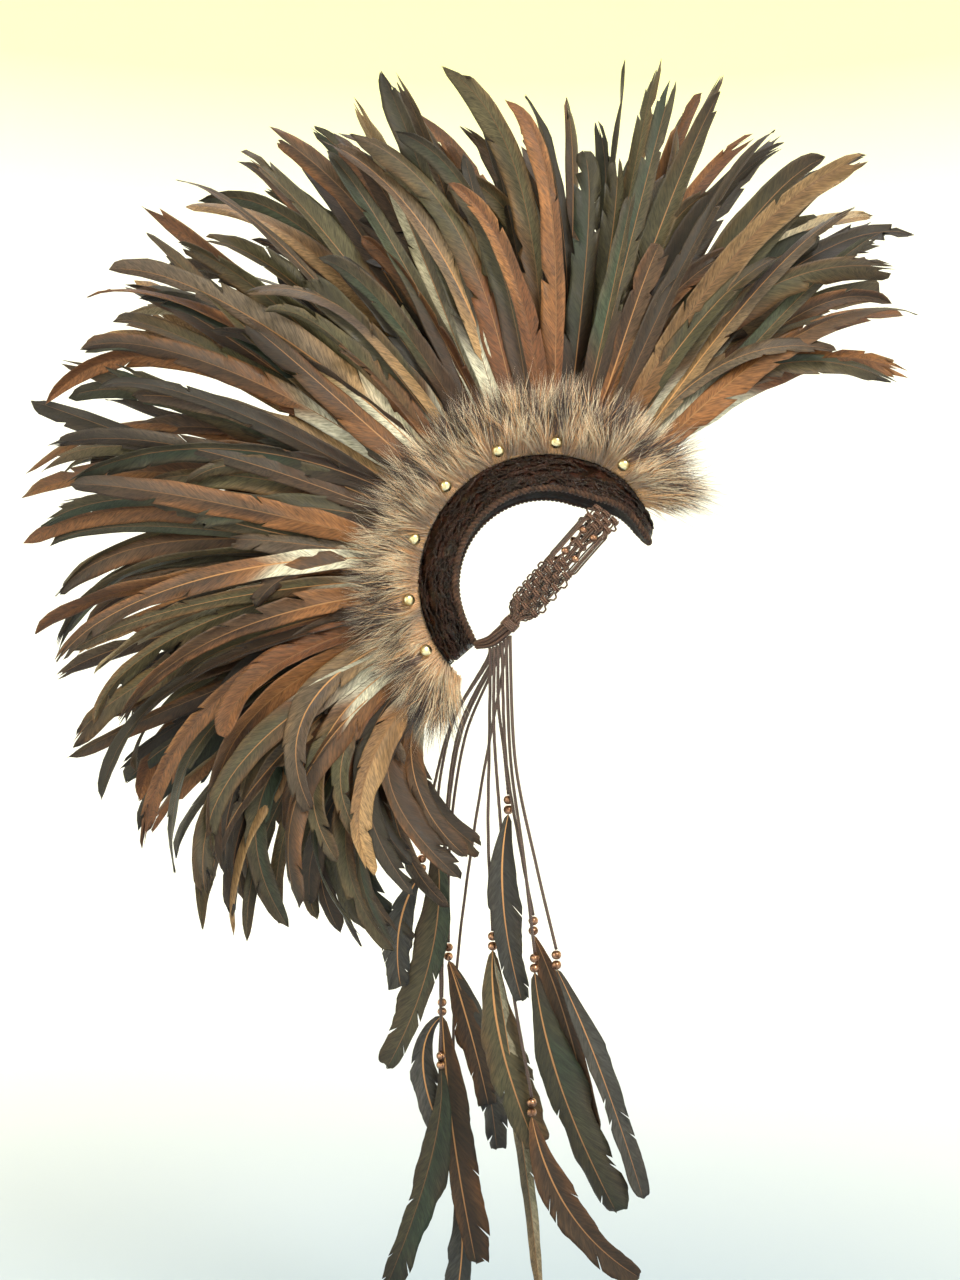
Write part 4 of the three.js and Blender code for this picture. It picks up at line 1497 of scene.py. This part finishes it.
def round_bead(heap: Heap, centre: np.ndarray, axis: Sequence[float], radius: float,
               flat: float = 1.0) -> None:
    """Adds a smooth round bead with a small dimple where its thread goes.

    Args:
        heap: Where it goes.
        centre: Its middle.
        axis: The way that its thread runs.
        radius: Its radius.
        flat: Its length along the thread, as a share of its width.
    """
    bm = bmesh.new()
    bmesh.ops.create_uvsphere(bm, u_segments=24, v_segments=16, radius=1)
    for v in bm.verts:
        dimple = 0.1 * math.exp(-((1 - abs(v.co.z)) / 0.05))
        v.co.z *= 1 - dimple
    mould = Mould.of(bm)
    z = unit(np.asarray(axis, float))
    x = unit(np.cross(z, (0.3, 0.9, 0.1)))
    y = np.cross(z, x)
    p = mould.points * radius
    points = centre + p[:, :1] * x + p[:, 1:2] * y + p[:, 2:] * z * flat
    heap.add(mould, points, (0.5, 0.5, 0.5), mould.points[:, :2])


@dataclass
class Studs:
    """The pale brass balls on the fur of one side."""

    side: Side
    radius: float = 0.0058
    height: float = 0.012
    lift: float = 0.0047

    def build(self, finish: bpy.types.Material) -> None:
        """Makes a smooth dome for each stud.

        Args:
            finish: The brass material.
        """
        fur = Fur(self.side)
        for i, angle in enumerate(STUD_ANGLES):
            point, _, normal = fur.surface(np.array([angle]), np.array([self.height]))
            name = f"stud_{self.side.word}_{i + 1}"
            heap = Heap()
            centre = point[0] + normal[0] * self.lift
            round_bead(heap, centre, normal[0], self.radius * 0.99, 0.76)
            heap.made(f"{name}_dome", name, "stud_brass", finish)


@dataclass
class Band:
    """One side's knotted band with its beads."""

    side: Side
    width: float = 0.030
    bead_radius: float = 0.00375
    cord_radius: float = 0.00092
    pitch: float = 0.0072
    middle: float = 0.0016

    ROUTE = (
        (0.0506, -0.0527, -0.0383),
        (0.070, -0.035, -0.058),
        (0.0765, -0.013, -0.083),
        (0.078, 0.009, -0.108),
        (0.075, 0.029, -0.132),
    )
    WINDOWS = (0.26, 0.45)
    FREE = (0.19, 0.52)
    CORDS, STRAND_STEPS = 12, 360
    # Along the band in pitches, then across it and out of it in metres.
    KNOT = (
        (-0.46, -0.0031, 0.0),
        (-0.3, -0.0039, 0.0005),
        (-0.13, 0.0, 0.0019),
        (-0.02, 0.0039, 0.0005),
        (0.08, 0.0033, -0.0012),
        (0.16, 0.0, -0.0017),
        (0.28, -0.0037, 0.0),
        (0.46, -0.0031, 0.0),
    )

    def __post_init__(self) -> None:
        """Works out the band's centre line and its directions."""
        self.line = smooth_line(self.ROUTE, 200)
        self.length = float(distances(self.line)[-1])
        self.way = unit(np.gradient(self.line, axis=0))
        radial = self.line - np.array([0, 0, -CROWN_RADIUS - 0.014])
        self.out = unit(radial - self.way * np.sum(radial * self.way, axis=1, keepdims=True))
        self.across = np.cross(self.way, self.out)

    def lay(self, u: np.ndarray, v: np.ndarray, w: np.ndarray) -> np.ndarray:
        """Puts points of the flat band on the side of the head.

        Args:
            u: Metres along it.
            v: Metres across it.
            w: Metres out of the head.

        Returns:
            The points.
        """
        at = np.clip(u / self.length, 0, 1) * (len(self.line) - 1)
        knots = np.arange(len(self.line))
        line, way, across, out = (
            between(at, knots, rows) for rows in (self.line, self.way, self.across, self.out)
        )
        v = v * np.clip((1 - u / self.length) / 0.08, 0.4, 1)
        sink = v**2 / (2 * HEAD_SIDE_RADIUS)
        past = (u - np.clip(u, 0, self.length))[:, None]
        p = line + way * past
        p = p + across * v[:, None] + out * (w - sink)[:, None]
        return p * (self.side.value, 1, 1)

    def build(self, cord: bpy.types.Material, copper: bpy.types.Material) -> None:
        """Makes the band and its beads.

        Args:
            cord: The knotted cord's material.
            copper: The beads' material.
        """
        heap = Heap()
        for k in range(self.CORDS):
            self.strand(heap, k)
        heap.made(f"band_{self.side.word}_knots", f"strap_{self.side.word}", "knotted_cord", cord)
        for i in range(4):
            u = self.WINDOWS[i // 2] * self.length
            v = (0.19 if i % 2 else -0.19) * self.width
            centre = self.lay(np.array([u]), np.array([v]), np.array([self.middle]))[0]
            ahead = self.lay(np.array([u + 0.002]), np.array([v]), np.array([self.middle]))[0]
            name = f"strap_bead_{self.side.word}_{i + 1}"
            beads = Heap()
            round_bead(beads, centre, ahead - centre, self.bead_radius, 0.92)
            beads.made(f"{name}_round", name, "bead_copper", copper)

    def lane(self, k: float) -> float:
        """A cord's usual place across the band."""
        return (k - 5.5) / 5.5 * 0.43 * self.width

    def stretch(self, k: int, row: int) -> list[tuple[float, float, float]]:
        """A cord's points in one row of knots, on the flat band.

        Args:
            k: The cord, 0 to 11 across the band.
            row: The row of knots.

        Returns:
            Points along, across and out of the band.
        """
        u = (row + 0.5) * self.pitch
        side = -1 if k < 6 else 1
        depth = min(k, 11 - k)
        open_part = self.FREE[0] < u / self.length < self.FREE[1]
        at_window = min(abs(u / self.length - place) for place in self.WINDOWS) < 0.045
        if open_part and depth < 3:
            return [(u, side * (0.47 - 0.062 * depth) * self.width, self.middle + 0.0006 * (depth - 1))]
        if at_window:
            across = 0.19 * self.width + 0.0008 * (depth - 3.5) if depth < 5 else 0.001
            return [(u, side * across, self.middle)]
        if open_part and depth == 3:
            return [(u, side * 0.0054, self.middle)]
        first = 4 if open_part else (k - 2 * (row % 2)) // 4 * 4 + 2 * (row % 2)
        if first < 0 or first > 8:
            across = self.lane(k) + side * (0.0026 if depth == 0 else 0.0007)
            return [(u + a * self.pitch, across, self.middle) for a in (-0.22, 0.0, 0.22)]
        centre = self.lane(first + 1.5)
        if k - first in (1, 2):
            across = centre + (k - first - 1.5) * 1.9 * self.cord_radius
            return [(u - 0.3 * self.pitch, across, self.middle), (u + 0.3 * self.pitch, across, self.middle)]
        sign = 1 if k == first else -1
        return [(u + a * self.pitch, centre + sign * b, self.middle + sign * c) for a, b, c in self.KNOT]

    def strand(self, heap: Heap, k: int) -> None:
        """Adds one of the band's twelve cords, knot by knot.

        Args:
            heap: Where it goes.
            k: Its place, 0 to 11 across the band.
        """
        flat = [(0.0, self.lane(k), self.middle)]
        for row in range(int(self.length / self.pitch)):
            flat += self.stretch(k, row)
        flat.append((self.length + 0.003, 0.009 * (k - 5.5) / 5.5, self.middle + 0.0012 * (k % 3 - 1)))
        points = np.array(flat)
        line = smooth_line(self.lay(*points.T), self.STRAND_STEPS + 1)
        # Painted shade: a cord darkens where it passes deep in a knot, under the others, and gets a painted
        # highlight where it lies on top.
        depth = carried(points, points[:, 2], self.STRAND_STEPS + 1)
        shade = 0.24 + 1.3 * np.clip((depth - self.middle + 0.0012) / 0.0028, 0, 1)
        bar(heap, tube_mould(self.STRAND_STEPS, 5), line, self.cord_radius, shade, first=(1, 0.2, 0.1))


@dataclass
class Tie:
    """The gathered cords that loop from a band's end to the saddle's rear corner."""

    side: Side

    ROUTE = (
        (0.0763, 0.030, -0.1331),
        (0.073, 0.039, -0.1425),
        (0.066, 0.051, -0.1525),
        (0.052, 0.0647, -0.1565),
    )
    CORDS, TURNS = 9, 5

    def build(self, cord: bpy.types.Material) -> bpy.types.Object:
        """Makes the tie.

        Args:
            cord: The knotted cord's material.

        Returns:
            The object.
        """
        heap = Heap()
        line = smooth_line(self.ROUTE, 61) * (self.side.value, 1, 1)
        _, across, third = frames(line, (0, 0, 1))
        mould = tube_mould(60, 7)
        share = np.linspace(0, 1, 61)[:, None]
        taper = rise(share, 0.45, 1)
        for k in range(self.CORDS):
            swing = 2 * math.pi * k / self.CORDS + 0.7 * share
            size = TIE_RADIUS * (0.74 - 0.3 * taper)
            shape = across * np.cos(swing) * 1.12 + third * np.sin(swing) * 0.86
            # Each cord is laid as a rope, with painted shade in its grooves and a painted highlight on its
            # crowns.
            bar(heap, mould, line + shape * size, 0.00125, 0.8 + 0.35 * (k % 2), ridges=2, pitch=0.006)
        # The core that fills the ring of cords is darkened to half: painted shade in the gaps between the
        # cords.
        bar(heap, mould, line, TIE_RADIUS * (0.66 - 0.26 * taper[:, 0]), 0.5)
        coil = np.linspace(0, 1, 181)
        at = np.clip(3 + coil * 9, 0, 60)
        turn = 2 * math.pi * self.TURNS * coil
        middle, one, two = (between(at, np.arange(61), rows) for rows in (line, across, third))
        shape = one * np.cos(turn)[:, None] * 1.12 + two * np.sin(turn)[:, None] * 0.92
        bar(heap, tube_mould(180, 7), middle + shape * TIE_RADIUS * 0.98, 0.001, 1.1)
        return heap.made(f"tie_{self.side.word}_cords", f"tie_{self.side.word}", "knotted_cord", cord)


@dataclass(frozen=True)
class Blade:
    """A hanging feather: the point that it passes, its tip and its width as a share of a tail feather's."""

    via: tuple[float, float, float]
    tip: tuple[float, float, float]
    width: float
    colouring: int = 0


@dataclass(frozen=True)
class Drop:
    """A hanging cord's route below its tie, and the feathers at its end."""

    route: tuple[tuple[float, float, float], ...]
    blades: tuple[Blade, ...]


# The cords from the front of each tie to its rear, with the wearer's left side unmirrored.
RIGHT_DROPS = (
    Drop(((-0.073, 0.03, -0.26), (-0.076, 0.012, -0.35), (-0.076, -0.006, -0.425)),
         (Blade((-0.076, -0.045, -0.533), (-0.076, -0.083, -0.646), 0.7, 8),)),
    Drop(((-0.068, 0.034, -0.26), (-0.07, 0.022, -0.35), (-0.07, 0.013, -0.429)),
         (Blade((-0.07, -0.01, -0.547), (-0.07, -0.06, -0.66), 1.2, 1),)),
    Drop(((-0.064, 0.038, -0.26), (-0.064, 0.025, -0.34), (-0.064, 0.014, -0.397)),
         (Blade((-0.064, -0.015, -0.49), (-0.064, -0.041, -0.595), 0.9, 2),)),
    Drop(((-0.063, 0.045, -0.21), (-0.059, 0.04, -0.25), (-0.058, 0.036, -0.29)),
         (Blade((-0.058, 0.041, -0.384), (-0.058, 0.024, -0.475), 0.95, 8),)),
    Drop(((-0.059, 0.049, -0.23), (-0.053, 0.042, -0.33), (-0.052, 0.034, -0.45), (-0.052, 0.015, -0.562)),
         (Blade((-0.052, -0.019, -0.665), (-0.052, -0.082, -0.724), 1.0, 2),)),
    Drop(((-0.05, 0.053, -0.24), (-0.046, 0.054, -0.33), (-0.046, 0.05, -0.414)),
         (Blade((-0.046, 0.043, -0.513), (-0.046, 0.011, -0.608), 1.2, 0),
          Blade((-0.044, 0.024, -0.6), (-0.043, 0.007, -0.747), 0.5, 6))),
)
LEFT_DROPS = (
    Drop(((0.07, 0.066, -0.33), (0.07, 0.086, -0.5), (0.07, 0.085, -0.677)),
         (Blade((0.07, 0.079, -0.746), (0.07, 0.091, -0.824), 0.9, 8),)),
    Drop(((0.068, 0.074, -0.24), (0.064, 0.09, -0.34), (0.064, 0.092, -0.445)),
         (Blade((0.064, 0.071, -0.53), (0.064, 0.053, -0.603), 0.9, 2),
          Blade((0.066, 0.061, -0.55), (0.067, 0.045, -0.647), 0.9, 8))),
    Drop(((0.062, 0.079, -0.24), (0.058, 0.096, -0.37), (0.058, 0.098, -0.497)),
         (Blade((0.058, 0.088, -0.625), (0.058, 0.065, -0.755), 1.0, 2),
          Blade((0.06, 0.115, -0.577), (0.061, 0.068, -0.686), 0.9, 8))),
    Drop(((0.056, 0.082, -0.24), (0.052, 0.098, -0.4), (0.052, 0.099, -0.547)),
         (Blade((0.052, 0.109, -0.652), (0.052, 0.153, -0.777), 1.0, 1),)),
    Drop(((0.05, 0.085, -0.225), (0.046, 0.098, -0.275), (0.046, 0.104, -0.324)),
         (Blade((0.046, 0.107, -0.449), (0.046, 0.151, -0.563), 1.05, 1),)),
    Drop(((0.044, 0.088, -0.23), (0.04, 0.106, -0.295), (0.04, 0.117, -0.356)),
         (Blade((0.04, 0.138, -0.424), (0.04, 0.137, -0.483), 0.95, 8),)),
)


@dataclass
class Hangings:
    """One side's hanging cords with their beads and feathers."""

    side: Side
    drops: tuple[Drop, ...]
    bead_radius: float = 0.0045

    def start(self, index: int) -> np.ndarray:
        """Where a cord leaves the underside of its tie.

        Args:
            index: The cord, from 0 at the front.

        Returns:
            The point.
        """
        line = smooth_line(Tie.ROUTE, 200)
        share = FIRST_CORD_SHARE + CORD_SHARE_STEP * index
        at = int(round(share * 199))
        slope = unit(np.gradient(line, axis=0))[at]
        size = TIE_RADIUS * (1 - 0.34 * rise(share, 0.45, 1) - 0.12 * rise(-share, -0.15, 0))
        level = math.hypot(slope[0], slope[1])
        fall = (0.93 * size + 0.0003 + 0.5 * CORD_DIAMETER * abs(slope[2])) / level
        return (line[at] - (0, 0, fall)) * (self.side.value, 1, 1)

    def build(self, cord: bpy.types.Material, copper: bpy.types.Material,
              feather: bpy.types.Material) -> None:
        """Makes the side's cords and drops.

        Args:
            cord: The waxed cord's material.
            copper: The beads' material.
            feather: The feather material.
        """
        maker = FeatherMaker(stations=48, seed=31 + self.side.value)
        word = self.side.word
        for i, drop in enumerate(self.drops):
            piece = self.drop(maker, drop, f"drop_{word}_{i + 1}", copper, feather)
            start = self.start(i)
            line = smooth_line([start, start - (0, 0, CORD_FALL), *drop.route], 73)
            heap = Heap()
            # Laid as a rope, with painted shade in its grooves and a painted highlight on its crowns.
            bar(heap, tube_mould(72, 10), line, 0.5 * CORD_DIAMETER * 1.06, 1.0,
                ridges=3, pitch=0.012, groove=0.16)
            obj = heap.made(f"cord_{word}_{i + 1}_waxed", f"cord_{word}_{i + 1}", "waxed_cord", cord)

    def drop(self, maker: FeatherMaker, drop: Drop, node: str, copper: bpy.types.Material,
             feather: bpy.types.Material) -> bpy.types.Object:
        """Makes the beads at a cord's end, and the feathers that hang from them.

        Args:
            maker: Shapes the feathers.
            drop: What hangs there.
            node: The solid that it stands for.
            copper: The beads' material.
            feather: The feather material.

        Returns:
            The beads, which are the cord's fitting.
        """
        end = np.array(drop.route[-1])
        step = 1.96 * self.bead_radius
        top = end[2] - 0.0003 - self.bead_radius
        metal = Heap()
        for k in range(2):
            centre = np.array([end[0], end[1], top - step * k])
            round_bead(metal, centre, (0, 0, 1), self.bead_radius * 0.98, 0.96)
        beads = metal.made(f"{node}_beads", node, "bead_copper", copper)
        base = np.array([end[0], end[1], top - step - 0.8 * self.bead_radius])
        vanes = Heap()
        for blade in drop.blades:
            via, tip = np.array(blade.via), np.array(blade.tip)
            control = 2 * via - 0.5 * base - 0.5 * tip
            ahead, back = base + (control - base) * 0.667, tip + (control - tip) * 0.667
            width = PLUME_WIDTH * blade.width * 1.08
            twist = (maker.rng.normal(0, 0.2), maker.rng.normal(0, 0.35))
            maker.add(vanes, bezier((base, ahead, back, tip), 24), (1, 0.08, 0.05), width,
                      PLUMAGES[blade.colouring], twist, splits=4, down=0.05, shade=0.55)
        vanes.made(f"{node}_feathers", node, "tail_feather", feather)
        return beads


@dataclass
class Studio:
    """The pale floor, the soft light and the camera."""

    floor: float = -0.95
    radius: float = 5.0

    def build(self) -> None:
        """Sets the stage."""
        self.bowl()
        self.lights()
        self.camera()

    def bowl(self) -> None:
        """Makes the floor, which rises into a pale wall all round."""
        bm = bmesh.new()
        steps = [(0.0, 0.0), (3.4, 0.0), (4.2, 0.12), (4.7, 0.5), (4.95, 1.1), (5.0, 2.0), (5.0, 6.0)]
        last = [bm.verts.new((r, 0, z)) for r, z in steps]
        edges = [bm.edges.new(pair) for pair in zip(last, last[1:])]
        bmesh.ops.spin(bm, geom=last + edges, cent=(0, 0, 0), axis=(0, 0, 1), angle=2 * math.pi, steps=64,
                       use_merge=True)
        bmesh.ops.remove_doubles(bm, verts=bm.verts[:], dist=1e-4)
        bmesh.ops.translate(bm, verts=bm.verts[:], vec=(0, 0, self.floor))
        bmesh.ops.recalc_face_normals(bm, faces=bm.faces[:])
        bmesh.ops.reverse_faces(bm, faces=bm.faces[:])
        mesh = bpy.data.meshes.new("backdrop")
        bm.to_mesh(mesh)
        bm.free()
        mesh.polygons.foreach_set("use_smooth", np.ones(len(mesh.polygons), bool))
        material, graph, shader = new_material("backdrop_paint")
        in_scene("backdrop", mesh, material)
        spot = graph.node("ShaderNodeTexCoord").outputs["Object"]
        height = graph.node("ShaderNodeSeparateXYZ", {0: spot}).outputs[2]
        share = graph.node("ShaderNodeMapRange", {0: height, 1: -0.9, 2: 2.1}).outputs[0]
        wall = graph.ramp(
            share, (0.0, srgb(240, 240, 240)), (0.78, srgb(245, 244, 238)), (1.0, srgb(252, 249, 190))
        )
        level = {0: spot, 1: (1.0, 1.0, 0.0)}
        flat = graph.node("ShaderNodeVectorMath", level, operation="MULTIPLY").outputs[0]
        away = graph.node("ShaderNodeVectorMath", {0: flat}, operation="LENGTH").outputs["Value"]
        near = graph.node("ShaderNodeMapRange", {0: away, 1: 0.4, 2: 2.8}).outputs[0]
        colour = graph.mix(near, (*srgb(152, 165, 180), 1), wall)
        graph.set(colour, shader, "Base Color")
        graph.set(colour, shader, "Emission Color")
        shader.inputs["Emission Strength"].default_value = 0.34
        shader.inputs["Roughness"].default_value = 0.9
        shader.inputs["Specular IOR Level"].default_value = 0.1

    @staticmethod
    def lights() -> None:
        """Hangs soft area lights round the object."""
        placed = (
            ("key", (-2.5, -1.3, 1.9), 1.2, 88.0, (1.0, 0.97, 0.92)),
            ("fill", (-1.9, 2.3, 0.7), 1.8, 16.0, (0.97, 0.98, 1.0)),
            ("far", (2.6, 0.4, 1.8), 2.4, 30.0, (1.0, 0.98, 0.95)),
            ("top", (0.2, 0.2, 3.2), 2.0, 56.0, (1.0, 0.99, 0.96)),
        )
        for name, place, size, power, colour in placed:
            lamp = bpy.data.lights.new(name, "AREA")
            lamp.shape = "DISK"
            lamp.size, lamp.energy, lamp.color = size, power, colour
            obj = in_scene(name, lamp)
            obj.location = place
            aim = Vector((0, 0.05, -0.1)) - Vector(place)
            obj.rotation_euler = aim.to_track_quat("-Z", "Y").to_euler()
        world = bpy.data.worlds.new("room")
        bpy.context.scene.world = world
        world.use_nodes = True
        world.node_tree.nodes["Background"].inputs[0].default_value = (1.0, 0.985, 0.95, 1)
        world.node_tree.nodes["Background"].inputs[1].default_value = 0.32
        bpy.context.scene.view_settings.view_transform = "Standard"

    @staticmethod
    def camera() -> None:
        """Puts the camera at the photograph's angle, from the wearer's right."""
        data = bpy.data.cameras.new("camera")
        data.lens = 45.4
        data.sensor_width = 36
        obj = in_scene("camera", data)
        obj.location = (-1.5, 0.0614, -0.152)
        obj.rotation_euler = (math.pi / 2, 0, -math.pi / 2)
        bpy.context.scene.camera = obj


def main() -> None:
    """Builds the headdress round its frame."""
    logging.basicConfig(level=logging.INFO, format="%(message)s")
    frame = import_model()
    LOG.info("frame: %d nodes", len(frame["nodes"]))
    effects = Effects()
    feather = FeatherFinish().material(effects)
    fur = FurFinish().material(effects)
    hide = HideFinish().material(effects)
    rope = HideFinish("rim_hide", srgb(26, 15, 11), srgb(104, 72, 56), 0.42, 0.3, 0.05)
    brass = MetalFinish("stud_brass", srgb(236, 224, 184), srgb(198, 178, 128), 0.22)
    copper = MetalFinish("bead_copper", srgb(178, 136, 112), srgb(92, 66, 54), 0.24)
    knotted = CordFinish("knotted_cord", srgb(52, 34, 28), srgb(122, 88, 72))
    waxed = CordFinish("waxed_cord", srgb(54, 40, 38), srgb(112, 88, 82))
    rope, brass, copper, knotted, waxed = (
        finish.material(effects) for finish in (rope, brass, copper, knotted, waxed)
    )
    Studio().build()
    Hangings(Side.RIGHT, RIGHT_DROPS).build(waxed, copper, feather)
    Hangings(Side.LEFT, LEFT_DROPS).build(waxed, copper, feather)
    Saddle().build(hide, rope)
    for side in Side:
        Band(side).build(knotted, copper)
        Tie(side).build(knotted)
        Studs(side).build(brass)
        Fur(side).build(fur)
    Crest().build(feather)


if __name__ == "__main__":
    main()
